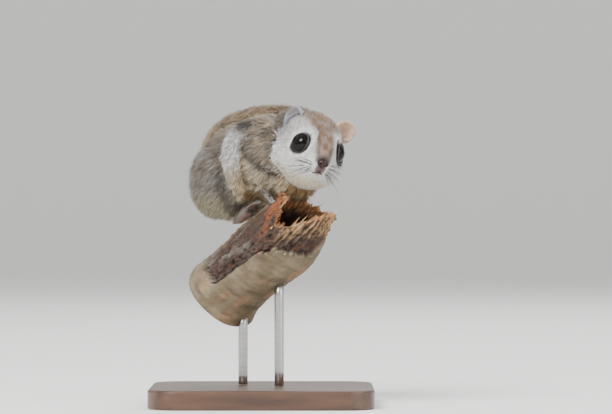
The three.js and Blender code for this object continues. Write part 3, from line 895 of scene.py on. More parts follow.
def coat_pieces(name, slot, data, seed):
    """Splits a coat into pieces that are each small enough."""
    count = math.ceil(len(data["roots"]) / TUFTS_A_PIECE)
    order = np.argsort(data["roots"] @ BODY[1][:, 0], kind="stable")
    for number, some in enumerate(np.array_split(order, count)):
        own = name if count == 1 else "%s_%d" % (name, number + 1)
        part = {key: values[some] for key, values in data.items()}
        placed(tuft_mesh(own, part, seed + number), coat_hair(), slot)


def grown(
    found, way, length, lift, width, colour, seed, dark, clump=0.35, one_in=7, streaks=0.22, drape=None
):
    """Everything that a coat needs, from where its tufts stand and how long they are."""
    place, normal, _, spread = found
    draw = np.random.default_rng(seed)
    count = len(place)
    length = length * draw.uniform(0.7, 1.2, count)
    lift = lift * draw.uniform(0.6, 1.4, count)
    stray = unit(way + 0.16 * draw.normal(size=(count, 3)))
    roots = place - normal * ROOT_DEPTH
    tips = roots + unit(stray + normal * lift[:, None]) * length[:, None]
    tips, near = clumped(roots, tips, seed + 1, clump, one_in)
    if drape is not None:
        tree, low, high = drape
        tips = laid(tips, tree, low * draw.uniform(0.6, 1.6, count), high * draw.uniform(0.5, 1.3, count))
    tone = (draw.normal(size=count) * 0.1)[near] + draw.normal(size=count) * 0.08
    streak = (draw.random(count) < streaks)[near].astype(float) * draw.uniform(0.2, 1, count)
    streak = np.maximum(streak, (draw.random(count) < 0.3 * streaks) * 1.0)
    shade = np.exp(tone)[:, None]
    tip_tone = blend(colour * TIP_LIGHT, DARK, (streak * 0.72)[:, None]) * shade
    return {
        "roots": roots, "normals": normal, "ways": way, "tips": tips,
        "widths": width * draw.uniform(0.7, 1.2, count),
        # root tone: the hair's own dark base, darkened further as painted shade inside the coat
        "root_tone": colour * dark * shade, "tip_tone": np.clip(tip_tone, 0, 1), "spread": spread,
    }


# Settings


def length_of(name, description, default):
    return FloatProperty(name=name, description=description, default=default, unit="LENGTH")


def tone_of(name, description, default):
    return FloatVectorProperty(name=name, description=description, subtype="COLOR", default=default)


def power_of(name, description, default):
    return FloatProperty(name=name, description=description, default=default, unit="POWER")


class CoatSettings(bpy.types.PropertyGroup):
    """Sizes of the fur."""

    body_length: length_of("Body length", "Length of a body tuft", 0.0058)
    head_length: length_of("Head length", "Length of a head tuft", 0.0031)
    tail_length: length_of("Tail length", "Length of a tail tuft", 0.0145)
    tuft_width: length_of("Tuft width", "Half width of a tuft", 0.00018)
    per_square: FloatProperty(name="Density", description="Tufts on a square millimetre", default=4.6)
    depth: length_of("Depth", "How deep the skin lies under the coat", 0.0017)
    seed: IntProperty(name="Seed", description="Start of the random draws", default=7)


class FaceSettings(bpy.types.PropertyGroup):
    """Sizes of the bare parts of the face."""

    whisker_radius: length_of("Whisker radius", "Radius at the root", 0.0002)
    whisker_length: length_of("Whisker length", "Longest one", 0.024)
    lid_width: length_of("Lid", "Half thickness of the lid's rim", 0.00042)


class StubSettings(bpy.types.PropertyGroup):
    """Colours of the stub."""

    bark: tone_of("Bark", "Bark", linear(106, 92, 70))
    bare: tone_of("Bare wood", "Scar", linear(66, 49, 40))
    rot: tone_of("Rot", "Inside", linear(62, 42, 34))
    columns: IntProperty(name="Columns", description="Faces round the stub", default=260)


class StandSettings(bpy.types.PropertyGroup):
    """The display stand."""

    tone: tone_of("Wood", "Base", linear(92, 64, 46))
    bevel: length_of("Bevel", "Rounding of the base's edges", 0.0012)


class StageSettings(bpy.types.PropertyGroup):
    """Floor, light and camera."""

    floor: tone_of("Floor", "Floor", (0.86, 0.85, 0.83))
    key: power_of("Key light", "Power of the main light", 72.0)
    fill: power_of("Fill light", "Power of the fill light", 16.0)
    lens: FloatProperty(name="Lens", description="Focal length in millimetres", default=200.0)
    distance: length_of("Distance", "Camera to the animal", 1.768)


def settings(name):
    return getattr(bpy.context.scene, "squirrel_" + name)


# Operators


class SQUIRREL_OT_coat(bpy.types.Operator):
    """Makes the skin and the fur of head, body, legs and tail."""

    bl_idname = "squirrel.coat"
    bl_label = "Skin and coat"

    def execute(self, context):
        size = settings("coat")
        mesh, owner = self.skin(size)
        places = points_of(mesh)
        coat_material()
        weights = np.ones(len(places))
        for side in SIDES.values():
            weights *= ramp(eye_reach(places, side), EYE_OPEN - 0.1, EYE_OPEN + 0.5)
        weights *= ramp(nose_reach(places), 2.6, 3.4)
        tree = BVHTree.FromPolygons(places.tolist(), triangles_of(mesh)[0].tolist())
        head, tail = is_part(owner, "head"), is_part(owner, "tail")
        for number, (name, own) in enumerate(zip(COATS, (head, tail, ~(head | tail)))):
            density = size.per_square * COATS[name]["dense"]
            found = scattered(mesh, density, weights * own, size.seed + 10 * number)
            self.grow(name, found, owner[found[2]], size.seed + 100 * number, tree)
        return {"FINISHED"}

    def skin(self, size):
        """One skin over all flesh, and which solid each of its points belongs to."""
        points, faces, owners = node_copy(FLESH[:-1], swell=SKIN_SWELL)
        extras = [(*tail_core(), "tail")] + [(*socket_ball(side), "head") for side in SIDES.values()]
        for more, more_faces, owner in extras:
            faces = np.concatenate([faces, more_faces + len(points)])
            points = np.concatenate([points, more])
            owners = np.concatenate([owners, np.full(len(more_faces), FLESH.index(owner))])
        tree = BVHTree.FromPolygons(points.tolist(), faces.tolist())
        mesh = remeshed("skin", points, faces, SKIN_VOXEL, rounds=7)
        places = points_of(mesh)
        owner = np.array([owners[tree.find_nearest(Vector(p))[2]] for p in places])
        share = np.where(is_part(owner, "head"), 0.45, np.where(is_part(owner, "tail"), 0.2, 1.0))
        depth = share * size.depth / MM
        for side in SIDES.values():
            depth *= 0.3 + 0.7 * ramp(eye_reach(places, side), 6.5, 9)
        depth *= 0.3 + 0.7 * ramp(nose_reach(places), 3.5, 8)
        places = places - normals_of(mesh) * (depth + SKIN_SWELL)[:, None]
        move_points(mesh, places)
        unwrapped(placed(mesh, skin_material(), "coat", *FLESH))
        paint(mesh, "tint", coat_colours(places, owner) * SKIN_SHADE)
        return mesh, owner

    def grow(self, name, found, owner, seed, tree):
        size, style = settings("coat"), COATS[name]
        place, normal, _, _ = found
        body, head = inside(BODY, place), inside(HEAD, place)
        width = np.full(len(place), size.tuft_width / MM)
        if name == "head_coat":
            length = np.full(len(place), size.head_length / MM)
            nose = nose_reach(place)
            length *= 0.4 + 0.6 * ramp(nose, 5, 16)
            length *= 1 + 0.9 * ramp(-head[:, 0], 2, 12)
            for side in SIDES.values():
                length *= 1 + 0.8 * spot(head, (-4, 14.0 * side, -10), (9, 7, 7), 1.0, 0.4)
                length *= 0.45 + 0.55 * ramp(eye_reach(place, side), 5.6, 9)
            width = width * (0.5 + 0.25 * ramp(nose, 5, 18))
        elif name == "tail_coat":
            length = size.tail_length / MM * (0.6 + 0.4 * ramp(np.abs(body[:, 1] - 2.5), 1, 6))
        else:
            length = np.full(len(place), size.body_length / MM)
            length = np.where(is_part(owner, "membrane"), length * 0.75, length)
            length *= 1 - 0.3 * ramp(-body[:, 2], 14, 26)
            length = np.where(is_part(owner, "thigh"), length * 1.15, length)
        way, colour = lie_of_coat(place, normal, owner), coat_colours(place, owner)
        drape = (tree, style["low"], style["high"])
        data = grown(
            found, way, length, style["lift"], width, colour, seed, style["dark"], clump=0.5,
            one_in=style["one_in"], streaks=style["streaks"], drape=drape,
        )
        coat_pieces(name, "coat", data, seed)


class SQUIRREL_OT_ears(bpy.types.Operator):
    """Makes both ears, thin cups with short hair."""

    bl_idname = "squirrel.ears"
    bl_label = "Ears"

    def execute(self, context):
        seed = settings("coat").seed
        for side, sign in SIDES.items():
            points, faces, _ = node_copy(["ear_" + side])
            rough = object_of(mesh_of("ear_shape_" + side, points, faces))
            modified(rough, "SUBSURF", levels=2, render_levels=2)
            mesh = plain_mesh(rough, "ear_skin_" + side)
            places = points_of(mesh)
            up, facing = (turned(HEAD, unit(way)) for way in EAR_WAYS[side])
            across = np.cross(up, facing)
            middle = places.mean(axis=0)
            narrow = EAR_TAPER[side] * ramp((places - middle) @ up, -2.5, 7)
            places = places - across * (((places - middle) @ across) * narrow)[:, None]
            move_points(mesh, places)
            low, high = places[:, 2].min(), places[:, 2].max()
            tone = blend(EAR_LOW, EAR_HIGH, ramp(places[:, 2], low, high)[:, None])
            if side == "right":
                tone = blend(tone, EAR_BLUE, 0.85)
            # painted shade: darker in the hollow middle of the ear
            cup_shade = ramp(np.abs(normals_of(mesh) @ facing), 0.1, 0.8)
            cup_shade *= ramp(-np.linalg.norm(places - middle, axis=1), -5.5, -1.5)
            tone = blend(tone, tone * (0.62, 0.5, 0.46), (0.85 * cup_shade)[:, None])
            paint(mesh, "tint", tone * (1 + 0.08 * waves(places, 3, 31))[:, None])
            glow = {"Subsurface_Weight": 0.35, "Subsurface_Scale": 0.002}
            skin = skin_material("ear_skin_tone_" + side, 0.55, **glow)
            unwrapped(placed(mesh, skin, "ear", "ear_" + side))
            found = scattered(mesh, 15.0, np.ones(len(places)), seed + 40 + sign)
            place, normal, nearest, _ = found
            up = unit(np.array([0.1, 0, 1]))
            way = up - normal * (normal @ up)[:, None]
            colour = np.tile(EAR_HAIR[side], (len(place), 1))
            # painted shade on the hair in the ear's hollow
            colour = blend(colour, colour * 0.55, (0.8 * cup_shade[nearest])[:, None])
            colour *= (1 + 0.25 * waves(place, 3.5, 32))[:, None]
            colour = blend(colour, UMBER, (0.5 * ramp(waves(place, 2.2, 35), 0.3, 1.0))[:, None])
            length = 1.3 + 1.1 * ramp(-place[:, 2], -low - 7, -low)
            data = grown(found, unit(way), length, 0.16, 0.08, colour, seed + 60, 0.8)
            coat_pieces("ear_coat_" + side, "ear", data, seed)
        return {"FINISHED"}


def toes(side):
    """Ball, tip and claw end of every toe on one side, hind foot first, in the body's frame."""
    found = []
    for (heel, ball), radius, count, length, spread in (
        (HIND[side], 3.1, HIND_TOES, 8, 0.7), (FORE[side], 2.5, FORE_TOES, 6, 0.8),
    ):
        heading = unit(np.subtract(ball, heel))
        for number in range(count):
            share = number / (count - 1) - 0.5
            turn = side * share * spread
            way = np.array([
                heading[0] * math.cos(turn) - heading[1] * math.sin(turn),
                heading[0] * math.sin(turn) + heading[1] * math.cos(turn),
                heading[2],
            ])
            root = np.array(ball) + (0, share * radius * 1.5, 0)
            tip = root + way * length * (1 - 0.5 * share * share) + (0, 0, -1.2)
            found.append((root, tip, tip + way * 2.4 + (0, 0, -1.9)))
    return found


class SQUIRREL_OT_feet(bpy.types.Operator):
    """Makes the feet with their short hair and claws."""

    bl_idname = "squirrel.feet"
    bl_label = "Feet and claws"

    def execute(self, context):
        seed = settings("coat").seed
        for name in FEET:
            points, faces, _ = node_copy([name])
            mesh = remeshed(name + "_skin", points, faces, FOOT_VOXEL, rounds=4)
            places, normals = points_of(mesh), normals_of(mesh)
            tone = blend(FOOT_TOP, FOOT_SOLE, ramp(-normals[:, 2], 0.1, 0.7)[:, None])
            gap = self.gap(name, places)
            move_points(mesh, places - normals * (0.45 * gap)[:, None])
            places, normals = points_of(mesh), normals_of(mesh)
            # painted shade in the gaps between the toes
            tone = tone * (1 - 0.6 * gap)[:, None]
            paint(mesh, "tint", tone * (1 + 0.1 * waves(places, 2.5, 33))[:, None])
            unwrapped(placed(mesh, skin_material(name + "_tone", 0.6), "pale", name))
            found = scattered(mesh, 13.0, ramp(normals[:, 2], -0.75, -0.35), seed + 70)
            place, normal, _, _ = found
            ahead = turned(BODY, (1, 0, 0.1))
            way = unit(ahead - normal * (normal @ ahead)[:, None])
            pale = PAW_HAIR if name.startswith("fore") else FOOT_HAIR
            colour = pale * (1 + 0.15 * waves(place, 3, 34))[:, None]
            data = grown(found, way, 1.6, 0.25, 0.1, colour, seed + 80, 0.7)
            coat_pieces(name + "_coat", "pale", data, seed)
        self.claws()
        return {"FINISHED"}

    def gap(self, name, places):
        """How far each place lies in the gap between two toes, 0 to 1."""
        rows = toes(SIDES[name.split("_")[-1]])
        rows = rows[HIND_TOES:] if name.startswith("fore") else rows[:HIND_TOES]
        points = inside(BODY, places)
        near = np.full(len(points), 9.0)
        ahead = np.zeros(len(points))
        for root, tip, _ in rows:
            way = (tip - root) / np.linalg.norm(tip - root)
            along = (points - root) @ way
            near = np.minimum(near, np.linalg.norm(points - root - way * along[:, None], axis=1))
            ahead = np.maximum(ahead, ramp(along, -1, 1))
        return ramp(near, 0.8, 1.5) * ahead

    def claws(self):
        points, faces, sides = [], [], 8
        rings = ((-0.25, 0.62), (0.1, 0.6), (0.45, 0.45), (0.75, 0.26), (1.0, 0.08))
        for _, tip, end in toes(-1) + toes(1):
            way = unit(end - tip)
            across = unit(np.cross(way, (0, 0, 1)))
            up = np.cross(across, way)
            faces.append(tube(len(rings), sides, len(points)))
            for share, radius in rings:
                middle = blend(tip, end, share) + up * 0.5 * math.sin(math.pi * max(0, share))
                points += ring_of(middle, across * 0.8 * radius, up * radius, sides)
        mesh = closed_mesh("claws", BODY, points, np.concatenate(faces))
        placed(mesh, bare_skin_material("horn", (64, 54, 48), (120, 106, 94), 0.35), "skin")


class SQUIRREL_OT_face(bpy.types.Operator):
    """Makes the eyes, lids, nose and mouth."""

    bl_idname = "squirrel.face"
    bl_label = "Eyes, lids, nose and mouth"

    def execute(self, context):
        gloss = eye_material()
        rim = bare_skin_material("lid_skin", (16, 12, 11), (34, 26, 23), 0.45)
        for side, sign in SIDES.items():
            centre = np.array([EYE_AT[0], EYE_AT[1] * sign, EYE_AT[2]])
            axis = inside((np.zeros(3), HEAD[1]), eye_axis(sign))
            along = unit(np.cross(axis, LID_UP))

            def bulge(p, centre=centre, axis=axis, along=along):
                front = np.clip(p @ axis, 0, 1)[:, None]
                narrow = along * (p @ along)[:, None] * (1 - EYE_NARROW) * 0.6
                return centre + (p - narrow) * (EYE_RADIUS + 0.1) + axis * 0.35 * front**3

            placed(ball_mesh("eyeball_" + side, HEAD, bulge), gloss, "eye", "eye_" + side)
            self.lid(side, centre, axis, along, rim)
        self.nose()
        self.mouth()
        return {"FINISHED"}

    def lid(self, side, centre, axis, along, material):
        """A rim round the eye, drawn out to a point before and behind."""
        half = settings("face").lid_width / MM
        up = np.cross(along, axis)
        points, steps, sides = [], 96, 10
        for i in range(steps):
            angle = TURN * i / steps
            radius = EYE_OPEN + 0.3 * max(0, math.cos(angle)) ** 10
            out = along * math.cos(angle) * EYE_NARROW + up * math.sin(angle)
            reach = radius * np.linalg.norm(out)
            rise = math.sqrt(max(1.0, (EYE_RADIUS + 0.25) ** 2 - reach**2)) + 0.1
            points += ring_of(centre + axis * rise + out * radius, out * 1.3 * half, axis * half, sides)
        mesh = closed_mesh("lid_" + side, HEAD, points, strips(steps + 1, sides) % (steps * sides))
        placed(mesh, material, "skin")

    def nose(self):
        def pad(p):
            q = p * (2.0, 2.9, 2.2)
            q[:, 1] *= 1 - 0.35 * ramp(-p[:, 2], 0.1, 1)
            q[:, 0] -= 0.5 * ridge(p[:, 1], 0.14) * ramp(p[:, 0], 0.2, 0.9)
            for side in SIDES.values():
                far = np.linalg.norm((p[:, 1:] - (0.5 * side, -0.1)) / (0.24, 0.17), axis=1)
                q[:, 0] -= 1.1 * ridge(far, 1) * ramp(p[:, 0], 0.1, 0.7)
            return q + NOSE_AT

        skin = bare_skin_material("nose_skin", (24, 15, 14), (60, 36, 32), 0.42, Specular_IOR_Level=0.3)
        placed(ball_mesh("nose_pad", HEAD, pad), skin, "skin", "nose")

    def mouth(self):
        """The cleft under the nose and the line of the lips."""
        lines = [[(22.9, 0, -4.6), (22.2, 0, -6.4), (20.7, 0, -8.2)]]
        for side in SIDES.values():
            corner = [(19.2, 1.9 * side, -9.2), (17.2, 3.5 * side, -9.4), (15.0, 4.9 * side, -8.9)]
            lines.append(lines[0][-1:] + corner)
        rods = [(np.array(path, float), 0.42, 0.2) for path in lines]
        lips = bare_skin_material("lip_skin", (46, 28, 25), (88, 52, 46), 0.45)
        placed(rod_mesh("mouth_line", HEAD, rods, rows=18, sides=8), lips, "skin")


def whisker_tree(material):
    """Node tree that turns bent lines into tapered hairs."""
    tree = bpy.data.node_groups.new("tapered_hairs", "GeometryNodeTree")
    tree.interface.new_socket("Geometry", in_out="INPUT", socket_type="NodeSocketGeometry")
    radius = tree.interface.new_socket("Root radius", in_out="INPUT", socket_type="NodeSocketFloat")
    tree.interface.new_socket("Geometry", in_out="OUTPUT", socket_type="NodeSocketGeometry")
    make = tree.nodes.new
    start, end = make("NodeGroupInput"), make("NodeGroupOutput")
    curve, thick = make("GeometryNodeMeshToCurve"), make("ShaderNodeMath")
    share = make("GeometryNodeInputNamedAttribute")
    share.data_type = "FLOAT"
    share.inputs["Name"].default_value = "taper"
    thick.operation = "MULTIPLY"
    ring, skin = make("GeometryNodeCurvePrimitiveCircle"), make("GeometryNodeCurveToMesh")
    ring.inputs["Resolution"].default_value = 5
    ring.inputs["Radius"].default_value = 1.0
    skin.inputs["Fill Caps"].default_value = True
    real, finish = make("GeometryNodeRealizeInstances"), make("GeometryNodeSetMaterial")
    finish.inputs["Material"].default_value = material
    for out, into in (
        (start.outputs["Geometry"], curve.inputs["Mesh"]),
        (share.outputs["Attribute"], thick.inputs[0]),
        (start.outputs["Root radius"], thick.inputs[1]),
        (thick.outputs[0], skin.inputs["Scale"]),
        (curve.outputs["Curve"], skin.inputs["Curve"]),
        (ring.outputs["Curve"], skin.inputs["Profile Curve"]),
        (skin.outputs["Mesh"], real.inputs["Geometry"]),
        (real.outputs["Geometry"], finish.inputs["Geometry"]),
        (finish.outputs["Geometry"], end.inputs["Geometry"]),
    ):
        tree.links.new(out, into)
    return tree, radius.identifier


class SQUIRREL_OT_whiskers(bpy.types.Operator):
    """Makes the whiskers."""

    bl_idname = "squirrel.whiskers"
    bl_label = "Whiskers"

    def execute(self, context):
        size = settings("face")
        draw = np.random.default_rng(17)
        points, edges, taper = [], [], []
        rows, in_row, steps = 4, 5, 12
        for side in SIDES.values():
            for row, number in np.ndindex(rows, in_row):
                back = number / (in_row - 1)
                out, up = (3.8 + 2.6 * back) * side, -4.3 - 1.35 * row + 0.6 * back
                root = np.array([19.0 - 5.2 * back, out, up])
                way = np.array([0.15 - 0.8 * back, 0.95 * side, 0.18 - 0.28 * row])
                way += draw.normal(size=3) * 0.09
                reach = size.whisker_length / MM * draw.uniform(0.6, 1.0) * (0.6 + 0.4 * back)
                droop = np.array([-3.2, 0, -1.6 - 1.4 * draw.random()])
                first = len(points)
                edges += [(first + i, first + i + 1) for i in range(steps - 1)]
                for t in np.arange(steps) / (steps - 1):
                    points.append(root + unit(way) * reach * t + droop * t**2)
                    taper.append(1 - 0.85 * t)
        mesh = bpy.data.meshes.new("whisker_lines")
        mesh.from_pydata((outside(HEAD, points) * MM).tolist(), edges, [])
        paint(mesh, "taper", np.array(taper))
        lines = object_of(mesh)
        tree, radius = whisker_tree(whisker_material())
        modified(lines, "NODES", node_group=tree)[radius] = size.whisker_radius
        placed(plain_mesh(lines, "whiskers"), None, "face")
        return {"FINISHED"}


class SQUIRREL_OT_stub(bpy.types.Operator):
    """Makes the broken stub with its bark, scar and rotten hollow."""

    bl_idname = "squirrel.stub"
    bl_label = "Broken stub"

    def execute(self, context):
        size = settings("stub")
        columns = size.columns
        degrees = np.arange(columns) * 360 / columns
        angle = np.radians(degrees)
        flat = 0 * angle
        circle = np.stack([20 * np.cos(angle), 20 * np.sin(angle), flat], 1)
        reach = read_table(BREAK, degrees) + (1.5 * waves(circle, 4.5, 41) + 0.9 * waves(circle, 1.7, 42))
        rows, tints, grains, raws = [], [], [], []

        def ring(t, radius, tone, shift=(0.0, 0.0), raw=1.0):
            aside, up = shift[0] - np.sin(angle) * radius, shift[1] + np.cos(angle) * radius
            rows.append(np.stack([t, aside, up], 1))
            tints.append(np.broadcast_to(tone, (columns, 3)))
            raws.append(np.broadcast_to(raw, columns))
            grains.append(np.stack([t * 0.012, angle * 1.9, radius * 0.12], 1))

        bark, bare, rot = (np.array(c) for c in (size.bark, size.bare, size.rot))
        # sawn back end, with year rings
        for share in np.linspace(0.02, 0.985, 14):
            radius = share * self.radius(degrees, flat - STUB_BACK)[0]
            rings = 0.5 + 0.5 * np.sin(radius * 3.1)
            ring(flat - STUB_BACK, radius, blend(SAWN * 0.75, SAWN, rings[:, None]))
        # outside, bark and scar
        steps = 170
        for i in range(steps + 1):
            t = blend(flat - STUB_BACK, reach, i / steps)
            radius, tone, raw = self.surface(degrees, angle, t, reach, bark, bare)
            ring(t, radius, tone, raw=raw)
        # broken rim
        outer = rows[-1]
        for share in (0.3, 0.65, 1.0):
            t = reach - 1.1 * share - 0.8 * share * waves(outer, 2.1, 43)
            radius = np.hypot(outer[:, 1], outer[:, 2]) - share * (2.6 + 0.9 * waves(outer, 5, 44))
            rotten = 0.35 * share + 0.25 * ramp(waves(outer, 6, 45), -0.2, 0.6)[:, None]
            ring(t, radius, blend(RIM_WOOD, rot, rotten))
        # hollow, which leans to one side as it goes down
        top = rows[-1]
        begin = np.hypot(top[:, 1], top[:, 2])
        deep, lean = 80, math.radians(20)
        for share in np.arange(1, deep + 1) / deep:
            t = blend(top[:, 0], flat + HOLLOW[0][0], share)
            offset = (0.5 + 0.4 * np.interp(t, [s[0] for s in HOLLOW], range(len(HOLLOW)))).mean() * share
            rough = 1 + 0.05 * waves(rows[-1], 7, 46) + 0.03 * waves(rows[-1] * (0.25, 1, 1), 2.2, 47)
            radius = blend(begin, np.interp(t, *zip(*HOLLOW)) * rough, ramp(share, 0, 0.16))
            tone = blend(RIM_WOOD * 0.8, rot, ramp(share, 0.0, 0.25))
            # painted shade: the rotten wood gets darker deeper down the hollow
            tone = blend(tone, rot * 0.45, ramp(share, 0.25, 0.9))
            where = (-math.sin(lean) * offset, math.cos(lean) * offset)
            ring(t, radius * (1 - 0.97 * ramp(share, 0.86, 1.0)), tone, where)
        # both ends are closed by a fan round one more point
        points = np.concatenate(rows)
        total, count = len(rows), len(points)
        j = np.arange(columns)
        k = (j + 1) % columns
        end = count - columns
        fans = [np.stack([0 * j + count, j, k], 1), np.stack([0 * j + count + 1, end + k, end + j], 1)]
        points = np.vstack([points, rows[0].mean(axis=0), rows[-1].mean(axis=0)])
        tint, grain = (np.vstack(values + [values[0][:1], values[-1][:1]]) for values in (tints, grains))
        faces = np.concatenate([strips(total, columns)[:, ::-1], *fans])
        mesh = mesh_of("stub", outside(STUB, points), faces)
        self.coloured(mesh, np.clip(tint, 0, 1), grain, np.concatenate(raws + [np.ones(2)]))
        tidy_normals(mesh)
        material = stub_material()
        placed(mesh, material, "wood", "perch")
        self.splinters(reach, degrees, angle, material)
        return {"FINISHED"}

    def coloured(self, mesh, tint, grain, raw):
        for name, values in (("tint", tint), ("grain", grain), ("raw", raw)):
            paint(mesh, name, values)

    def radius(self, degrees, t):
        """The stub's radius without its roughness, and how bare it is, as in the solids."""
        angle = np.radians(degrees)
        along = (t + STUB_BACK) / (STUB_BACK + 59)
        flare = 2.2 * np.exp(-along * 9)
        lumps = 0.5 * np.sin(3 * angle + 0.11 * t) + 0.35 * np.sin(5 * angle - 0.19 * t + 2)
        belly = 5 * ridge(t - 20, 20) * np.maximum(0, np.cos(angle - math.radians(208))) ** 1.5
        bare = ramp(t - read_table(BARK_END, degrees), -1, 2)
        return STUB_RADIUS + flare - 2.6 * along + lumps + belly - BARK_THICK * bare, bare

    def surface(self, degrees, angle, t, reach, bark, wood):
        """Radius, colour and bareness of one ring of the outside."""
        place = np.stack([t, 18 * np.cos(angle), 18 * np.sin(angle)], 1)
        radius, smooth = self.radius(degrees, t)
        edge = t + 3.2 * waves(place, 9, 51) + 1.4 * waves(place, 3, 52) - read_table(BARK_END, degrees)
        bare = ramp(edge, -0.5, 0.6)
        radius = radius + BARK_THICK * smooth - BARK_THICK * bare
        fibre = waves(place * (0.06, 1, 1), 2.4, 53) + 0.6 * waves(place * (0.1, 1, 1), 1.1, 54)
        crumble = waves(place, 3.4, 55) + 0.6 * waves(place, 1.5, 56)
        ripple = waves(place * (1, 0.3, 0.3), 5, 57)
        crack = ramp(waves(place * (0.1, 1, 1), 4.5, 58), 0.75, 1.1)
        lumps = waves(place * (0.5, 1, 1), 9, 62)
        rough = 0.45 * fibre + 0.6 * crumble + 0.8 * lumps - 1.7 * crack
        radius += blend(0.16 * ripple + 0.1 * crumble, rough, bare)
        radius += 0.35 * ridge(edge + 1.2, 1.1) - 0.5 * ridge(edge - 0.9, 0.7)
        tone = layered(bark, [
            (BARK_PALE, 0.5 * ramp(waves(place, 14, 59), -0.3, 0.8)),
            (BARK_DARK, 0.75 * ramp(waves(place * (1, 0.35, 0.35), 8, 60), 0.1, 1.0)),
            (BARK_RED, 0.35 * ramp(waves(place, 11, 63), 0.3, 1.0)),
            (BARK_RIM, 0.5 * ridge(edge + 0.5, 0.5) * ramp(waves(place, 6, 66), -0.6, 0.5)),
        ])
        near = ramp(-(reach - t), -17, -3)
        raw = layered(wood, [
            (GREY_WOOD, 0.7 * ramp(waves(place * (0.4, 1, 1), 7, 64) - t * 0.02, -0.1, 0.8)),
            (ORANGE, 0.85 * near * stripe(degrees - 58, 56, 18) * ramp(lumps, -0.8, 0.5)),
            (PALE_WOOD, 0.75 * near * ramp(degrees, 100, 128) * ramp(fibre, -0.9, 0.4)),
            (ORANGE * 0.6, 0.35 * ramp(waves(place, 5, 65), 0.5, 1.1)),
            # painted shade: darker in the cracks and crumbled pits that the radius cuts in
            (wood * 0.25, 0.7 * np.clip(ramp(-crumble, 0.3, 1.3) + crack, 0, 1)),
        ])
        return radius, blend(tone, raw, bare[:, None]), bare

    def splinters(self, reach, degrees, angle, material):
        """Loose fibres that stand up from the broken rim."""
        draw = np.random.default_rng(5)
        rods = []
        for _ in range(SPLINTERS):
            j = int(draw.integers(len(degrees)))
            radius = self.radius(degrees[j], reach[j])[0] - draw.uniform(0.8, 3.2)
            root = np.array([reach[j] - 3.5, -math.sin(angle[j]) * radius, math.cos(angle[j]) * radius])
            rise = draw.uniform(3.4, 7.0)
            bend = draw.normal(size=3) * 0.7
            path = np.array([root, root + (rise * 0.5, 0, 0) + bend * 0.25, root + (rise, 0, 0) + bend])
            rods.append((path, draw.uniform(0.35, 0.8), 0.07))
        mesh = rod_mesh("splinters", STUB, rods, rows=6, sides=5)
        places = inside(STUB, points_of(mesh))
        tone = blend(FIBRE_LOW, FIBRE_HIGH, ramp(waves(places, 6, 61), -0.5, 0.7)[:, None])
        self.coloured(mesh, tone, places * (0.012, 0.1, 0.1), np.ones(len(places)))
        placed(mesh, material, "wood")


class SQUIRREL_OT_stand(bpy.types.Operator):
    """Makes the base plate and the two rods."""

    bl_idname = "squirrel.stand"
    bl_label = "Display stand"

    def execute(self, context):
        size = settings("stand")
        low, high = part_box("stand_base")
        bm = bmesh.new()
        ring = []
        corner, steps = 0.016, 14
        for number, (sx, sy) in enumerate(((1, 1), (-1, 1), (-1, -1), (1, -1))):
            x, y = sx * (high[0] - corner), sy * (high[1] - corner)
            for i in range(steps + 1):
                turn = math.pi / 2 * (number + i / steps)
                ring.append(bm.verts.new((x + corner * math.cos(turn), y + corner * math.sin(turn), low[2])))
        raised = bmesh.ops.extrude_face_region(bm, geom=[bm.faces.new(ring)])
        for vert in (g for g in raised["geom"] if isinstance(g, bmesh.types.BMVert)):
            vert.co.z = high[2]
        bmesh.ops.recalc_face_normals(bm, faces=bm.faces)
        mesh = bpy.data.meshes.new("base_rough")
        bm.to_mesh(mesh)
        bm.free()
        rough = object_of(mesh)
        modified(rough, "BEVEL", width=size.bevel, segments=3, limit_method="ANGLE")
        placed(plain_mesh(rough, "base_plate"), base_material(tuple(size.tone)), "base", "stand_base")
        steel = steel_material()
        for number in (1, 2):
            low, high = (np.array(corner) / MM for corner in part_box("stand_rod_%d" % number))
            here = ((low + high) / 2 * (1, 1, 0), np.eye(3))
            radius = (high[0] - low[0]) / 2
            path = np.array([(0, 0, low[2]), (0, 0, (low[2] + high[2]) / 2), (0, 0, high[2] + 1.5)])
            mesh = rod_mesh("rod_%d" % number, here, [(path, radius, radius)], rows=8, sides=40)
            placed(mesh, steel, "rod", "stand_rod_%d" % number)
        return {"FINISHED"}


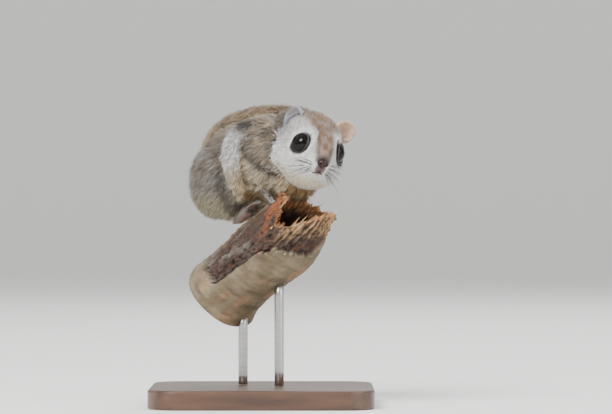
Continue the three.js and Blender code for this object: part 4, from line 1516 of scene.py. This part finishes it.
class SQUIRREL_OT_stage(bpy.types.Operator):
    """Makes the floor, the lights and the camera."""

    bl_idname = "squirrel.stage"
    bl_label = "Stage, lights and camera"

    def execute(self, context):
        size = settings("stage")
        # floor: a wide bowl in metres, flat in the middle
        profile = [(1.5, 0.0), (3.2, 0.0), (4.2, 0.12), (5.0, 0.6), (5.5, 1.5), (5.7, 3.0), (5.75, 5.5)]
        path = smooth_path(np.array(profile), 30)
        columns = 96
        points = [(0.0, 0.0, 0.0)]
        for radius, height in path:
            across, up = np.array([radius, 0, 0]), np.array([0, radius, 0])
            points += ring_of((0, 0, max(0.0, height)), across, up, columns)
        fan = [(0, 1 + k, 1 + (k + 1) % columns) for k in range(columns)]
        faces = np.concatenate([fan, strips(len(path), columns, 1)[:, ::-1]])
        material = material_of("pale_floor", 0.9, Base_Color=(*size.floor, 1))
        object_of(mesh_of("floor", np.array(points) / MM, faces), material)
        target = Vector((0.0229, 0.0, 0.103))
        for name, place, width, power in (
            ("key", (-0.75, -1.3, 1.5), 1.1, size.key),
            ("fill", (1.4, -1.0, 0.7), 1.4, size.fill),
            ("back", (0.5, 1.3, 1.5), 1.2, size.fill * 1.4),
        ):
            light = bpy.data.lights.new(name + "_light", "AREA")
            light.shape = "DISK"
            light.size = width
            light.energy = power
            lamp = bpy.data.objects.new(name + "_light", light)
            lamp.location = place
            lamp.rotation_euler = (target - Vector(place)).to_track_quat("-Z", "Y").to_euler()
            context.collection.objects.link(lamp)
        world = bpy.data.worlds.new("soft_sky")
        world.use_nodes = True
        sky = world.node_tree.nodes["Background"]
        sky.inputs["Color"].default_value = (0.95, 0.97, 1.0, 1)
        sky.inputs["Strength"].default_value = 0.85
        context.scene.world = world
        data = bpy.data.cameras.new("photo_camera")
        data.lens = size.lens
        data.sensor_width = 36
        data.clip_start, data.clip_end = 0.1, 50
        camera = bpy.data.objects.new("photo_camera", data)
        camera.location = target + Vector((0, -size.distance, 0))
        camera.rotation_euler = (math.pi / 2, 0, 0)
        context.collection.objects.link(camera)
        context.scene.camera = camera
        return {"FINISHED"}


class SQUIRREL_PT_panel(bpy.types.Panel):
    """Lists the steps that build the model."""

    bl_label = "Flying squirrel"
    bl_idname = "SQUIRREL_PT_panel"
    bl_space_type = "VIEW_3D"
    bl_region_type = "UI"
    bl_category = "Squirrel"

    def draw(self, context):
        for name, group in GROUPS.items():
            box = self.layout.box()
            box.label(text=group.__doc__)
            for key in group.__annotations__:
                box.prop(settings(name), key)
        for operator in OPERATORS:
            self.layout.operator(operator.bl_idname)


GROUPS = {
    "coat": CoatSettings,
    "face": FaceSettings,
    "stub": StubSettings,
    "stand": StandSettings,
    "stage": StageSettings,
}
OPERATORS = (
    SQUIRREL_OT_stage,
    SQUIRREL_OT_coat,
    SQUIRREL_OT_ears,
    SQUIRREL_OT_feet,
    SQUIRREL_OT_face,
    SQUIRREL_OT_whiskers,
    SQUIRREL_OT_stub,
    SQUIRREL_OT_stand,
)


def register():
    for name, group in GROUPS.items():
        bpy.utils.register_class(group)
        setattr(bpy.types.Scene, "squirrel_" + name, PointerProperty(type=group))
    for operator in OPERATORS:
        bpy.utils.register_class(operator)
    bpy.utils.register_class(SQUIRREL_PT_panel)


def unregister():
    bpy.utils.unregister_class(SQUIRREL_PT_panel)
    for operator in reversed(OPERATORS):
        bpy.utils.unregister_class(operator)
    for name, group in reversed(GROUPS.items()):
        delattr(bpy.types.Scene, "squirrel_" + name)
        bpy.utils.unregister_class(group)


def main():
    register()
    bpy.ops.squirrel.stage()
    bpy.ops.squirrel.coat()
    bpy.ops.squirrel.ears()
    bpy.ops.squirrel.feet()
    bpy.ops.squirrel.face()
    bpy.ops.squirrel.whiskers()
    bpy.ops.squirrel.stub()
    bpy.ops.squirrel.stand()
    bpy.context.view_layer.update()


if __name__ == "__main__":
    main()
